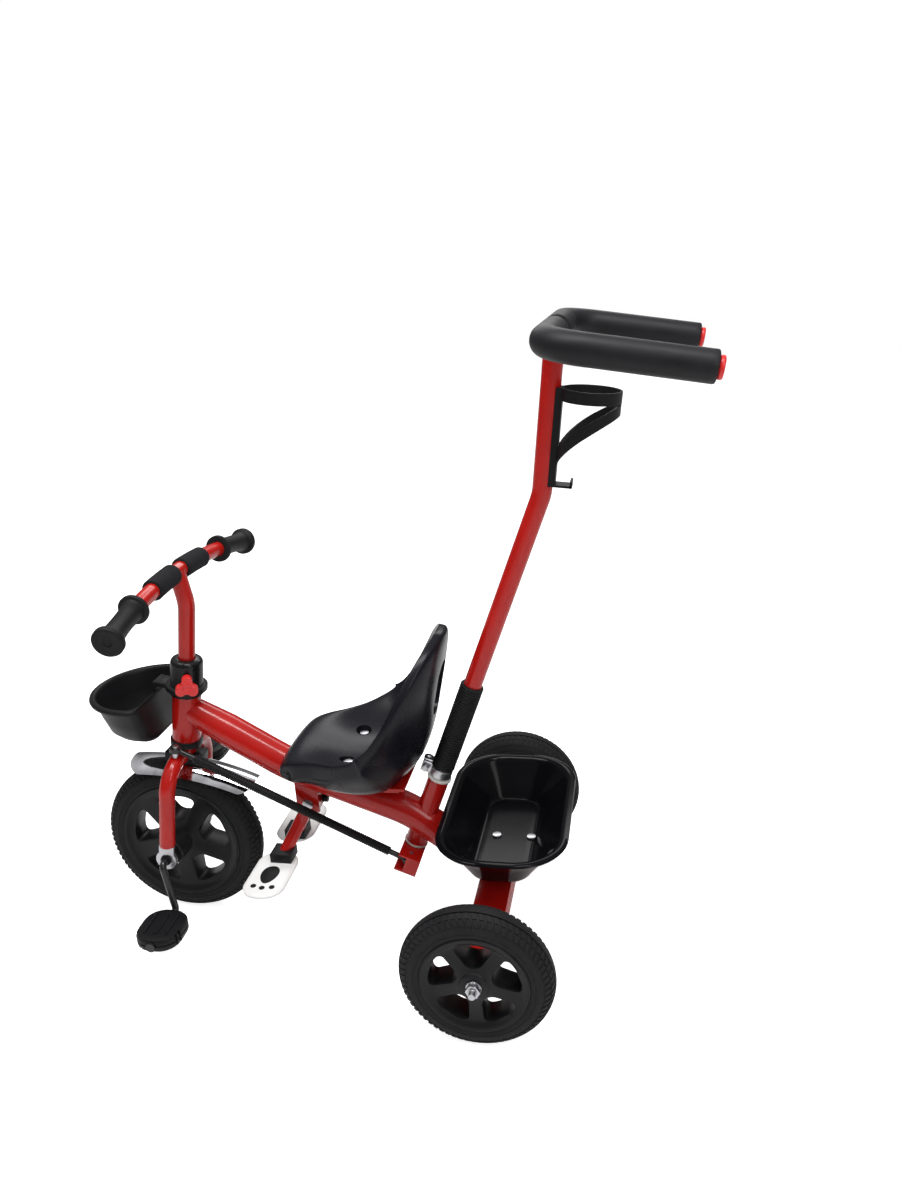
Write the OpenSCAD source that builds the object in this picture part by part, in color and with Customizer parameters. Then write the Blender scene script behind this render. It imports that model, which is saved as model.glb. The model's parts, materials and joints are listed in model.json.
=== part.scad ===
// Toddler push along trike: a steel tricycle that a child pedals and an adult pushes and steers.
// Lengths are in millimetres. X points forward, Y to the rider's left, Z up, and the floor is at Z zero.

/* [Wheels] */
// Outer radius of the front tyre
front_r = 125; // [118:1:128]
// Outer radius of a rear tyre
rear_r = 100; // [94:1:104]
// Width of a tyre
tyre_w = 46; // [40:1:48]
// Depth of a tyre from its tread to the rim
tyre_depth = 30; // [27:1:34]
// Thickness of a rim's ring
rim_wall = 7; // [5:1:10]
// Radius of a wheel's hub
hub_r = 19; // [16:1:22]
// Width of a rear hub
rear_hub_w = 46; // [40:1:50]
// Width of a spoke
spoke_w = 15; // [12:1:20]
// Thickness of a spoke along the axle
spoke_t = 38; // [30:1:42]
// Distance from the rear axle to the front axle
wheelbase = 494; // [485:1:505]
// Distance between the middles of the rear tyres
track = 454; // [440:2:470]
// Diameter of the rear axle
axle_d = 10; // [8:0.5:12]
// Free length of the axle outside each nut
axle_free = 8; // [5:0.5:12]

/* [Frame] */
// Lean of the steering axis back from the vertical, in degrees
rake = 9.3; // [8.5:0.1:10]
// Diameter of the main tube
main_d = 48; // [44:1:50]
// Wall of the main tube
main_wall = 2; // [1.5:0.25:3]
// Diameter of the head tube
head_d = 42; // [40:1:44]
// Length of the head tube
head_len = 74; // [70:1:78]
// Width of the rear crossbar, front to back
cross_w = 46; // [40:1:50]
// Height of the rear crossbar
cross_h = 30; // [26:1:34]
// Wall of the rear crossbar
cross_wall = 2; // [1.5:0.25:3]

/* [Fork] */
// Diameter of a fork leg
leg_d = 23; // [20:0.5:24]
// Distance of a fork leg from the middle
leg_y = 66; // [64:0.5:70]
// Height of the crown tube's middle above the front axle
crown_w = 150; // [149:0.5:153]
// Bend radius of the crown tube
crown_bend = 40; // [34:1:46]
// Width of the mudguard
guard_w = 62; // [52:1:70]
// Length of a crank arm
crank_len = 76; // [68:1:78]
// Diameter of the crank rod
crank_d = 10; // [8:0.5:11]
// Length of a pedal along its spindle
pedal_l = 72; // [64:1:80]
// Width of a pedal across its spindle
pedal_w = 66; // [56:1:70]
// Thickness of a pedal
pedal_t = 25; // [22:1:28]

/* [Handlebar] */
// Diameter of the handlebar tube
bar_d = 22; // [20:0.2:22.2]
// Half the length of the handlebar
bar_half = 214; // [195:1:225]
// Rise of the handlebar's middle above its ends
bar_rise = 22; // [16:1:30]
// Height of the handlebar's middle above the front axle, along the steering axis
bar_w = 434; // [420:1:450]
// Length of a grip
grip_l = 84; // [76:1:90]
// Diameter of the bar's foam sleeves
foam_d = 30; // [28:0.5:33]

/* [Seat] */
// Length of the seat, front to back
seat_l = 222; // [212:1:226]
// Height of the seat from its underside to the top of its back
seat_h = 226; // [215:1:240]
// Width of the seat
seat_w = 238; // [225:1:245]
// Thickness of the seat's hollow moulding at the pan
seat_t = 36; // [32:1:38]
// Height of the seat's side wings
seat_wing = 60; // [45:1:64]

/* [Push bar] */
// Lean of the push bar back from the vertical, in degrees
push_lean = 21; // [20:0.1:22]
// Diameter of the push bar
push_d = 25.4; // [25:0.1:26]
// Diameter of the sleeve that is welded through the main tube
sleeve_d = 31; // [30:0.5:33]
// Length of that sleeve
sleeve_len = 114; // [110:1:118]
// Length of the lower, leaning part of the push bar above the sleeve's foot
push_low = 558; // [540:1:570]
// Length of the upper part of the push bar
push_up = 199; // [190:1:215]
// Half the width of the push handle, to the middle of its arms
handle_half = 168; // [150:1:175]
// Length of a handle arm
handle_arm = 178; // [165:1:185]
// Diameter of the push handle's foam
handle_foam_d = 35; // [32:0.5:38]

/* [Baskets] */
// Depth of the front basket
bin_h = 70; // [66:1:76]
// Radius of the front basket at its rim
bin_r = 80; // [74:1:84]
// Length of the rear basket at its rim, front to back
tub_l = 182; // [174:1:186]
// Width of the rear basket at its rim
tub_w = 296; // [280:1:304]
// Depth of the rear basket
tub_h = 58; // [54:1:62]

/* [Footrest] */
// Length of a footplate, across the trike
plate_l = 110; // [96:1:116]
// Width of a footplate, front to back
plate_w = 62; // [54:1:66]
// Thickness of a footplate
plate_t = 9; // [7:0.5:11]

/* [Hidden] */
$fn = 64;

// Fits: running clearance on a radius, gap between moving faces, overrun of a cut
fit = 0.05;
gap = 0.3;
over = 1;
// A bend is this much fuller than its straight runs, which reach this far into it
bend_swell = 0.1;
bend_lap = 0.5;

// Rear wheels and axle
washer_t = 2;
washer_d = 20;
nut_h = 7;
nut_af = 17;
axle_step = 0.5;
plug_t = 12;
spokes = 5;
hub_face = track / 2 + rear_hub_w / 2;
cross_half = track / 2 - rear_hub_w / 2 - gap - washer_t;
axle_half = hub_face + gap + washer_t + nut_h + axle_free;

// Main tube: the corners of its centre line, in X and Z
main_join = 224;
main_front_back = 184;
main_front_bend = [wheelbase - main_front_back, 257];
main_rear_bend = [130, 189];
main_bends = [250, 150];
main_taper = 70;
main_tip_d = head_d - 2 * main_wall;

// Head: heights along the steering axis above the front axle
head_wall = 2.5;
cup_d = 47;
cup_h = 9.7;
bush_spigot = 12;
head_low = crown_w + leg_d / 2 + cup_h + 2 * gap + over;
head_top = head_low + head_len;
upper_cup_h = 4.7;
collar_low = head_top + upper_cup_h + gap;
collar_h = 52;
collar_d = 47;
collar_foot_d = 54;
collar_foot_h = 2.2;
collar_round = 6;
collar_top_t = 4;

// Steerer and stem
steerer_d = 28.6;
steerer_floor = 20;
steerer_top = collar_low + collar_h - collar_top_t - gap;
stem_foot = 190;
stem_upper = 46;
stem_bend_w = bar_w - stem_upper;
stem_bend = 70;
bar_u = 15;
bar_tilt = 52.5;
bar_wall = 1.8;
stem_more = 2;
stem_d = bar_d + stem_more;
foam_in = 13;
foam_out = 76;
grip_d = 28;
grip_flange_d = 41;
grip_flange_t = 6;
grip_end_t = 3;

// Knob on the collar
knob_rise = 21;
knob_w = collar_low + knob_rise;
knob_d = 34;
knob_t = 12;
knob_lobes = 3;
knob_lobe_d = 15;
knob_ring_d = 15;
knob_ring_w = 1.6;
knob_ring_t = 1;
knob_screw_d = 6;
knob_boss_d = 14;
knob_turn = 25;

// Fork ends, crank and pedals
leg_wall = 2;
leg_foot = 24;
drop_t = 6;
drop_y = leg_y + 2;
drop_d = 32;
drop_tang = 14;
drop_tang_top = leg_foot + drop_tang;
bush_d = 16;
bush_flange = 2.5;
front_hub_half = leg_y - leg_d / 2 - 2 * gap;
crank_axle = 84;
crank_out = 90;
crank_bend = 7.5;
crank_back = 10;
pedal_start = crank_out + crank_bend + over;
pedal_rivet = 3;
pedal_rivet_d = 14;
pedal_round = 20;

// Mudguard: an arc over the tyre, seen in the steering frame
guard_t = 1.4;
guard_r = 400;
guard_u = -12;
guard_top = 136;
guard_section_r = 46;
guard_front = 84;
guard_rear = 112;
saddle_l = 56;
saddle_w = 30;
saddle_h = 16;

// Steering linkage
sleeve_ring_t = 3;
front_arm = 38;
rear_arm = 30;
stud_d = 8;
stud_top = 178;
eye_w = 169;
eye_t = 6;
eye_r = 9;
rod_d = 8;
cover_d = 13;
cover_rib = 1;
cover_ribs = 40;
rod_bare = 22;
pin_d = 6;
link_play = 2;
lever_low = -31;
lever_top = -sleeve_ring_t - gap;
lever_plate = 3;
lever_l = 33;
lever_side = 20;
lever_open = 4;
rear_eye_s = -18;

// Push bar: its foot, and the pieces along its lower part
push_x = 124.6;
push_z = 138.4;
socket_wall = 1.6;
sleeve_ring_d = 35;
pale_ring_t = 4;
socket_top = 134.5;
clamp_low = sleeve_len + pale_ring_t + gap;
clamp_h = 15;
clamp_t = 3;
clamp_ear = 14;
clamp_ear_t = 4;
clamp_split = 3;
clamp_bolt_d = 6;
clamp_bolt_head = 10;
clamp_bolt_share = 0.55;
qr_r = 7;
qr_l = 40;
qr_t = 6;
qr_rest = 198;
spigot_len = 130;
spigot_weld = 12;
rib_low = 135;
rib_high = 272;
rib_d = 33;
rib_core_d = 30;
ribs = 26;
push_wall = 1.6;
push_bend = 60;
push_up_lean = 6.2;
handle_d = 22;
handle_bend = 45;
handle_drop = 9.7;
handle_gap = 15;
handle_cap_t = 6;
handle_cap_d = 25;

// Bottle cage behind the upper push bar
cage_r = 34;
cage_t = 3;
cage_band = 15;
cage_plate_w = 22;
cage_plate_l = 122;
cage_low = 12;
cage_slope = 46;
cage_strap = 12;
cage_foot = 24;

// Seat: stations from the front lip to the top of the back
seat_front = 288;
seat_base = 252;
seat_slot_w = 46;
seat_slot_low = 96;
seat_slot_high = 176;
seat_bolt_y = 43;
seat_bolts_x = [203, 143];
seat_bolt_d = 6;
seat_head_d = 13;
seat_head_h = 4;
seat_head_seat = 34;
seat_pocket_d = 20;
bracket_t = 4;
bracket_recess = 4;
bracket_x = [122, 226];
bracket_half = 56;
bracket_cheek_y = 17;
bracket_cheek_x = [140, 212];
// Shares of the length, height, half width, wing height, thickness and skirt at each station
seat_shares = [
    [0.016, 0.040, 0.26, 0.00, 0.50, 0.2], [0.000, 0.105, 0.37, 0.00, 0.75, 0.4],
    [0.020, 0.152, 0.47, 0.02, 0.90, 0.7], [0.080, 0.160, 0.59, 0.12, 1.00, 0.9],
    [0.200, 0.135, 0.73, 0.34, 1.00, 1.0], [0.340, 0.100, 0.86, 0.58, 1.00, 1.0],
    [0.480, 0.087, 0.95, 0.80, 1.00, 1.0], [0.600, 0.095, 0.99, 0.96, 1.00, 0.8],
    [0.695, 0.135, 1.00, 1.00, 0.95, 0.2], [0.787, 0.220, 0.99, 1.00, 0.85, 0.0],
    [0.853, 0.370, 0.97, 0.82, 0.72, 0.0], [0.899, 0.540, 0.92, 0.62, 0.62, 0.0],
    [0.940, 0.710, 0.80, 0.44, 0.58, 0.0], [0.968, 0.840, 0.62, 0.28, 0.56, 0.0],
    [0.987, 0.925, 0.42, 0.14, 0.52, 0.0], [1.000, 0.975, 0.20, 0.05, 0.42, 0.0]];
seat_skirt = 16;
seat_pan_share = 0.087;
seat_ring = 36;
seat_clear = 2;
seat_wing_power = 2.6;
seat_edge_power = 0.42;

// Baskets
bin_wall = 2.5;
bin_low_r = 46;
bin_belly_r = 66;
bin_belly_h = 18;
bin_corner = 14;
bin_straight = 18;
bin_lip = 7;
bin_lip_t = 4;
bin_rim_z = 377;
bin_back = 40;
bin_ring_h = 9;
bin_tab_w = 28;
bin_tongue = 14;
tub_x = -15;
tub_rim_z = 206;
tub_wall = 3;
tub_lip = 10;
tub_lip_t = 5;
tub_rim_round = 62;
tub_floor_l = 92;
tub_floor_w = 214;
tub_floor_round = 34;
tub_bolts_x = [4, -46];
tub_bolt_d = 6;
tub_head_d = 13;
tub_head_h = 4;
basket_nut_h = 5;
basket_nut_af = 10;
basket_plate_t = 3;
basket_plate_half = 22;
basket_plate_back = -60;

// Footrest
foot_back = 213;
foot_x = wheelbase - foot_back;
foot_z = 200;
foot_tilt = 27.8;
lug_l = 34;
lug_y = 14;
lug_t = 4;
lug_drop = 12;
foot_pin_d = 8;
yoke_r = 9.5;
arm_d = 19;
arm_y = 4;
arm_knee = 34;
arm_foot = 90;
arm_foot_y = 29;
arm_bend = 40;
plate_ahead = 49;
plate_x = foot_x + plate_ahead;
plate_z = 115;
plate_in = 15;
plate_round = 26;
clip_l = 30;
clip_w = 32;
clip_h = 14;
clip_in = 17;
latch_d = 5;
latch_rise = 1.5;
latch_short = 1.1;
latch_knob_d = 12;
latch_knob_l = 9;
latch_web_t = 4;
latch_web_drop = 8;

// The middle of the trike's length stands over the origin
front_most = wheelbase + front_r;
push_bend_x = push_x - push_low * sin(push_lean);
push_bend_z = push_z + push_low * cos(push_lean);
handle_x = push_bend_x - push_up * sin(push_up_lean);
handle_z = push_bend_z + push_up * cos(push_up_lean);
handle_reach = handle_arm + handle_cap_t;
rear_most = handle_x - handle_reach * cos(handle_drop) - handle_cap_d / 2 * sin(handle_drop);
shift_x = -(front_most + rear_most) / 2;

bar_r = (bar_half * bar_half + bar_rise * bar_rise) / (2 * bar_rise);
bar_angle = asin(bar_half / bar_r);
red = "crimson";
black = [0.07, 0.07, 0.08];
foam = [0.10, 0.10, 0.11];
steel = "silver";

// Frames that carry the pieces
module trike() { translate([shift_x, 0, 0]) children(); }
module steering() { trike() translate([wheelbase, 0, front_r]) rotate([0, -rake, 0]) children(); }
module push_axis() { trike() translate([push_x, 0, push_z]) rotate([0, -push_lean, 0]) children(); }
module push_upper() {
    trike() translate([push_bend_x, 0, push_bend_z]) rotate([0, -push_up_lean, 0]) children();
}
module side_plane() { rotate([90, 0, 0]) children(); }
module cross_plane() { rotate([90, 0, 90]) children(); }
module on_bar(angle) {
    steering() translate([bar_u, 0, bar_w]) rotate([0, -bar_tilt, 0]) translate([-bar_r, 0, 0])
        rotate([0, 0, angle]) children();
}
module both_sides() {
    children();
    mirror([0, 1, 0]) children();
}

// A tube along corners in a plane, with a bend radius at each inner corner
function turn(a, b, c) = let (u = b - a, v = c - b) atan2(u[0] * v[1] - u[1] * v[0], u * v);
function set_back(p, bends, i) =
    i < 1 || i > len(p) - 2 ? 0 : bends[i - 1] * tan(abs(turn(p[i - 1], p[i], p[i + 1])) / 2);
function heading(p, i) = let (d = p[i + 1] - p[i]) atan2(d[1], d[0]);
function longer(p, e) = let (n = len(p) - 1, a = p[0] - p[1], b = p[n] - p[n - 1])
    [p[0] + a * e / norm(a), for (i = [1 : n - 1]) p[i], p[n] + b * e / norm(b)];
module rod_path(p, bends, r) {
    for (i = [0 : len(p) - 2]) {
        start = max(0, set_back(p, bends, i) - bend_lap);
        end = max(0, set_back(p, bends, i + 1) - bend_lap);
        translate(p[i]) rotate(heading(p, i)) translate([start, 0, 0]) rotate([0, 90, 0])
            cylinder(r = r, h = norm(p[i + 1] - p[i]) - start - end);
    }
    for (i = [1 : len(p) - 2]) {
        t = turn(p[i - 1], p[i], p[i + 1]);
        translate(p[i]) rotate(heading(p, i - 1))
            translate([-set_back(p, bends, i), sign(t) * bends[i - 1], 0])
            rotate(t > 0 ? -90 : 90 + t)
            rotate_extrude(angle = abs(t)) translate([bends[i - 1], 0]) circle(r = r + bend_swell);
    }
}
module tube_path(p, bends, r, wall) {
    difference() {
        rod_path(p, bends, r);
        rod_path(longer(p, over), bends, r - wall);
    }
}
module ring(r_out, r_in, h) {
    difference() {
        cylinder(r = r_out, h = h);
        translate([0, 0, -over]) cylinder(r = r_in, h = h + 2 * over);
    }
}
module rounded_plate(size, round) {
    x = size[0] / 2 - round;
    y = size[1] / 2 - round;
    square([size[0], 2 * y], center = true);
    square([2 * x, size[1]], center = true);
    for (sx = [-x, x], sy = [-y, y]) translate([sx, sy]) circle(r = round);
}
module along_y(from, to) { translate([0, from, 0]) rotate([-90, 0, 0]) children(); }
module hex_prism(across, h) { cylinder(d = across / cos(30), h = h, $fn = 6); }

// Frame
main_head = [wheelbase - main_join * sin(rake), front_r + main_join * cos(rake)];
main_reach = main_front_bend - main_head;
main_start = main_head + main_reach * main_taper / norm(main_reach);
main_rear = [0, rear_r - cross_h / 4];
function main_height(x) = let (d = main_front_bend - main_rear_bend)
    main_rear_bend[1] + (x - main_rear_bend[0]) * d[1] / d[0];
main_path = [main_start, main_front_bend, main_rear_bend, main_rear];
module main_nose() {
    side_plane() translate(main_head) rotate(atan2(main_reach[1], main_reach[0])) rotate([0, 90, 0])
        children();
}
module main_solid() {
    side_plane() rod_path(main_path, main_bends, main_d / 2);
    main_nose() cylinder(d1 = main_tip_d, d2 = main_d + 2 * bend_swell, h = main_taper + bend_lap);
}
module main_shell() {
    bore = main_d - 2 * main_wall;
    side_plane() tube_path(main_path, main_bends, main_d / 2, main_wall);
    main_nose() difference() {
        cylinder(d1 = main_tip_d, d2 = main_d + 2 * bend_swell, h = main_taper + bend_lap);
        translate([0, 0, -over])
            cylinder(d1 = main_tip_d - 2 * main_wall, d2 = bore, h = main_taper + bend_lap + 2 * over);
    }
}
module sleeve_solid() { cylinder(d = sleeve_d, h = sleeve_len); }
module main_tube() {
    color(red) difference() {
        trike() main_shell();
        steering() translate([0, 0, head_low - head_len]) cylinder(d = head_d, h = 3 * head_len);
        push_axis() sleeve_solid();
        trike() translate([cross_w / 2 - track, -track / 2, 0]) cube([track, track, 2 * rear_r]);
    }
}
module head_tube() {
    color(red) steering() translate([0, 0, head_low]) ring(head_d / 2, head_d / 2 - head_wall, head_len);
}
module rear_crossbar() {
    color(red) trike() difference() {
        translate([-cross_w / 2, -cross_half, rear_r - cross_h / 2]) cube([cross_w, 2 * cross_half, cross_h]);
        translate([cross_wall - cross_w / 2, -cross_half - over, rear_r - cross_h / 2 + cross_wall])
            cube([cross_w - 2 * cross_wall, 2 * (cross_half + over), cross_h - 2 * cross_wall]);
    }
}
module crossbar_plugs() {
    color(black) trike() both_sides() difference() {
        translate([cross_wall - cross_w / 2, cross_half - plug_t, rear_r - cross_h / 2 + cross_wall])
            cube([cross_w - 2 * cross_wall, plug_t, cross_h - 2 * cross_wall]);
        translate([0, 0, rear_r]) along_y(cross_half - plug_t - over)
            cylinder(d = axle_d, h = plug_t + 2 * over);
    }
}
module push_sleeve() {
    color(red) push_axis() ring(sleeve_d / 2, push_d / 2 + fit, sleeve_len);
}
bracket_top = seat_base + bracket_recess;
module seat_bracket() {
    color(red) trike() difference() {
        union() {
            translate([bracket_x[0], -bracket_half, bracket_top - bracket_t])
                cube([bracket_x[1] - bracket_x[0], 2 * bracket_half, bracket_t]);
            both_sides()
                translate([bracket_cheek_x[0], bracket_cheek_y, bracket_top - bracket_t - main_d / 2])
                cube([bracket_cheek_x[1] - bracket_cheek_x[0], bracket_t, main_d / 2]);
        }
        main_solid();
        for (x = seat_bolts_x, y = [-seat_bolt_y, seat_bolt_y])
            translate([x, y, seat_base - main_d]) cylinder(d = seat_bolt_d, h = 2 * main_d);
    }
}
tub_floor_z = tub_rim_z - tub_h;
module basket_bracket() {
    top = tub_floor_z;
    low = rear_r + cross_h / 2;
    front = cross_w / 2;
    under = top - low - basket_plate_t + over;
    wide = 2 * (basket_plate_half + over);
    color(red) trike() difference() {
        translate([basket_plate_back, -basket_plate_half, low])
            cube([front - basket_plate_back, 2 * basket_plate_half, top - low]);
        translate([basket_plate_back - over, -wide / 2, low - over])
            cube([-basket_plate_back - front + over, wide, under]);
        translate([basket_plate_t - front, -wide / 2, low - over])
            cube([2 * (front - basket_plate_t), wide, under]);
        for (x = tub_bolts_x) translate([x, 0, low]) cylinder(d = tub_bolt_d, h = top);
    }
}
lug_low = foot_z - lug_drop;
module footrest_lug() {
    color(red) trike() difference() {
        union() {
            both_sides() translate([foot_x - lug_l / 2, lug_y, lug_low])
                cube([lug_l, lug_t, main_height(foot_x) - lug_low]);
            translate([foot_x - lug_l / 2, -lug_y - over, foot_z - latch_web_drop])
                cube([latch_web_t, 2 * (lug_y + over), main_height(foot_x) - foot_z + latch_web_drop]);
        }
        main_solid();
        translate([foot_x, -2 * lug_y, foot_z]) rotate([-90, 0, 0]) cylinder(d = foot_pin_d, h = 4 * lug_y);
        translate([foot_x - lug_l, 0, foot_z + latch_rise]) rotate([0, 90, 0])
            cylinder(d = latch_d + 2 * fit, h = lug_l);
    }
}
module rear_axle() {
    color(steel) trike() translate([0, 0, rear_r]) along_y(-axle_half)
        cylinder(r = axle_d / 2 - axle_step, h = 2 * axle_half);
    color(steel) trike() translate([0, 0, rear_r]) along_y(axle_free - axle_half)
        cylinder(d = axle_d, h = 2 * (axle_half - axle_free));
}
module axle_washers() {
    color(steel) trike() translate([0, 0, rear_r]) both_sides() {
        along_y(cross_half) ring(washer_d / 2, axle_d / 2, washer_t);
        along_y(hub_face + gap) ring(washer_d / 2, axle_d / 2, washer_t);
    }
}
module axle_nuts() {
    color(steel) trike() translate([0, 0, rear_r]) both_sides() along_y(hub_face + gap + washer_t)
        difference() {
            hex_prism(nut_af, nut_h);
            translate([0, 0, -over]) cylinder(d = axle_d, h = nut_h + 2 * over);
        }
}
module head_bushes() {
    bore = steerer_d / 2 + fit;
    spigot_r = head_d / 2 - head_wall;
    color(black) steering() {
        translate([0, 0, head_low - cup_h]) ring(cup_d / 2, bore, cup_h);
        translate([0, 0, head_low]) ring(spigot_r, bore, bush_spigot);
        translate([0, 0, head_top]) ring(cup_d / 2, bore, upper_cup_h);
        translate([0, 0, head_top - bush_spigot]) ring(spigot_r, bore, bush_spigot);
    }
}
module push_bushes() {
    color("gainsboro") push_axis() {
        translate([0, 0, sleeve_len]) ring(sleeve_ring_d / 2, push_d / 2 + fit, pale_ring_t);
        translate([0, 0, -sleeve_ring_t]) ring(sleeve_ring_d / 2, push_d / 2 + fit, sleeve_ring_t);
    }
}

// Seat: a hollow moulding, swept through stations along its middle line
function seat_point(i) =
    [seat_front - seat_shares[i][0] * seat_l,
        seat_base + seat_t / 2 + (seat_shares[i][1] - seat_pan_share) * seat_h];
function seat_slope(i) = let (
    n = len(seat_shares) - 1,
    d = seat_point(min(i + 1, n)) - seat_point(max(i - 1, 0)))
    d / norm(d);
function seat_vertex(i, k) = let (
    a = 360 * k / seat_ring,
    p = seat_point(i),
    d = seat_slope(i),
    rise = seat_wing * seat_shares[i][3] * pow(abs(cos(a)), seat_wing_power),
    skirt = sin(a) < 0 ? seat_skirt * seat_shares[i][5] : 0,
    depth = seat_t / 2 * seat_shares[i][4] + skirt,
    thick = depth * sign(sin(a)) * pow(abs(sin(a)), seat_edge_power),
    off = rise + thick)
    [p[0] + d[1] * off, seat_w / 2 * seat_shares[i][2] * cos(a), p[1] - d[0] * off];
module seat_body() {
    n = len(seat_shares);
    m = seat_ring;
    points = [for (i = [0 : n - 1], k = [0 : m - 1]) seat_vertex(i, k)];
    sides = [for (i = [0 : n - 2], k = [0 : m - 1], half = [0, 1])
        let (a = i * m + k, b = i * m + (k + 1) % m)
        half == 0 ? [a, b, b + m] : [a, b + m, a + m]];
    polyhedron(points, concat(sides, fan(m, 0, false), fan(m, (n - 1) * m, true)));
}
function fan(m, base, flip) = [for (k = [1 : m - 2]) flip ? [base, base + k, base + k + 1]
    : [base, base + k + 1, base + k]];
module seat() {
    color(black) trike() difference() {
        seat_body();
        side_plane() rod_path(main_path, main_bends, main_d / 2 + seat_clear);
        translate([bracket_x[0] - over, -bracket_half - over, seat_base - main_d])
            cube([bracket_x[1] - bracket_x[0] + 2 * over, 2 * (bracket_half + over),
                main_d + bracket_recess]);
        for (x = seat_bolts_x, y = [-seat_bolt_y, seat_bolt_y]) translate([x, y, seat_base - over]) {
            cylinder(d = seat_bolt_d, h = seat_h / 2);
            translate([0, 0, seat_head_seat + over]) cylinder(d = seat_pocket_d, h = seat_h / 4);
        }
        translate([seat_front - seat_l - main_d, 0, seat_base]) rotate([0, 90, 0])
            linear_extrude(3 * main_d)
            translate([-(seat_slot_low + seat_slot_high) / 2, 0])
            rounded_plate([seat_slot_high - seat_slot_low, seat_slot_w], seat_slot_w / 2 - over);
    }
}
module bolt_with_nut(d, head_d, head_h, grip, nut_h, nut_af) {
    cylinder(d = head_d, h = head_h);
    translate([0, 0, -grip - nut_h]) cylinder(d = d, h = grip + nut_h);
    translate([0, 0, -grip - nut_h]) hex_prism(nut_af, nut_h);
}
module seat_bolts() {
    head_z = seat_base + seat_head_seat;
    color(steel) trike() for (x = seat_bolts_x, y = [-seat_bolt_y, seat_bolt_y]) translate([x, y, head_z])
        bolt_with_nut(seat_bolt_d, seat_head_d, seat_head_h, head_z - bracket_top + bracket_t,
            basket_nut_h, basket_nut_af);
}
module tub_block(grow, low, high) {
    rim = [tub_l - 2 * tub_lip + 2 * grow, tub_w - 2 * tub_lip + 2 * grow];
    floor_size = [tub_floor_l + 2 * grow, tub_floor_w + 2 * grow];
    hull() {
        translate([tub_x, 0, high]) linear_extrude(over) rounded_plate(rim, tub_rim_round + grow, $fn = 32);
        translate([tub_x + tub_wall, 0, low]) linear_extrude(over)
            rounded_plate(floor_size, tub_floor_round + grow, $fn = 32);
    }
}
module rear_basket() {
    color(black) trike() difference() {
        union() {
            tub_block(0, tub_floor_z, tub_rim_z - over);
            translate([tub_x, 0, tub_rim_z - tub_lip_t]) linear_extrude(tub_lip_t)
                rounded_plate([tub_l, tub_w], tub_rim_round + tub_lip);
        }
        tub_block(-tub_wall, tub_floor_z + tub_wall, tub_rim_z);
        for (x = tub_bolts_x) translate([x, 0, 0]) cylinder(d = tub_bolt_d, h = tub_rim_z);
    }
}
module basket_bolts() {
    color(steel) trike() for (x = tub_bolts_x) translate([x, 0, tub_floor_z + tub_wall])
        bolt_with_nut(tub_bolt_d, tub_head_d, tub_head_h, tub_wall + basket_plate_t,
            basket_nut_h, basket_nut_af);
}
module footrest_pin() {
    reach = lug_y + lug_t;
    color(steel) trike() translate([foot_x, 0, foot_z]) {
        along_y(-reach) cylinder(d = foot_pin_d, h = 2 * reach);
        both_sides() along_y(reach) cylinder(d = 2 * foot_pin_d, h = washer_t);
    }
}

// Fork and what turns with it
leg_path = [[0, crown_w], [leg_y, crown_w], [leg_y, leg_foot]];
module leg_solid() { cross_plane() rod_path(leg_path, [crown_bend], leg_d / 2); }
module fork_leg() { cross_plane() tube_path(leg_path, [crown_bend], leg_d / 2, leg_wall); }
module clean_leg() {
    intersection() {
        fork_leg();
        translate([-track / 2, 0, 0]) cube([track, track, 2 * crown_w]);
    }
}
module fork_left_leg() { color(red) steering() clean_leg(); }
module fork_right_leg() { color(red) steering() mirror([0, 1, 0]) clean_leg(); }
module steerer() {
    color(red) steering() difference() {
        translate([0, 0, crown_w]) cylinder(d = steerer_d, h = steerer_top - crown_w);
        translate([0, 0, crown_w + steerer_floor]) cylinder(r = stem_d / 2 + fit, h = steerer_top);
        both_sides() leg_solid();
        translate([0, 0, knob_w]) rotate(knob_turn) along_y(0)
            cylinder(r = knob_screw_d / 2 + fit, h = steerer_d);
    }
}
module fork_dropouts() {
    color(steel) steering() both_sides() translate([0, drop_y - drop_t / 2, 0]) rotate([-90, 0, 0])
        difference() {
            union() {
                cylinder(d = drop_d, h = drop_t);
                translate([-leg_d / 2, -leg_foot, 0]) cube([leg_d, leg_foot, drop_t]);
                translate([-drop_tang / 2, -drop_tang_top, 0]) cube([drop_tang, drop_tang_top, drop_t]);
            }
            translate([0, 0, -over]) cylinder(d = bush_d, h = drop_t + 2 * over);
        }
}
module axle_bushes() {
    bore = crank_d / 2 + fit;
    inner = drop_y - drop_t / 2;
    color(black) steering() both_sides() {
        along_y(front_hub_half + gap) ring(drop_d / 2 - 2 * gap, bore, inner - front_hub_half - gap);
        along_y(inner) ring(bush_d / 2, bore, drop_t + bush_flange);
    }
}
module guard_arc(from_r, to_r) {
    rise = guard_top - guard_r;
    start = asin(-(guard_rear + guard_u) / guard_r);
    end = asin((guard_front - guard_u) / guard_r);
    translate([guard_u, 0, rise]) side_plane() rotate(90 - end)
        rotate_extrude(angle = end - start, $fn = 720) intersection() {
            translate([guard_r - guard_section_r, 0]) difference() {
                circle(r = to_r, $fn = 64);
                circle(r = from_r, $fn = 64);
            }
            translate([guard_r - guard_section_r / 2, -guard_w / 2]) square([guard_section_r, guard_w]);
        }
}
module mudguard() { color("lightgray") steering() guard_arc(guard_section_r - guard_t, guard_section_r); }
module mudguard_saddle() {
    color(black) steering() difference() {
        translate([-saddle_l / 2, -saddle_w / 2, crown_w - saddle_h]) cube([saddle_l, saddle_w, saddle_h]);
        both_sides() leg_solid();
        guard_arc(over, guard_section_r);
        translate([-saddle_l, -saddle_w, 0]) cube([2 * saddle_l, 2 * saddle_w, guard_top - saddle_h]);
    }
}
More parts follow.
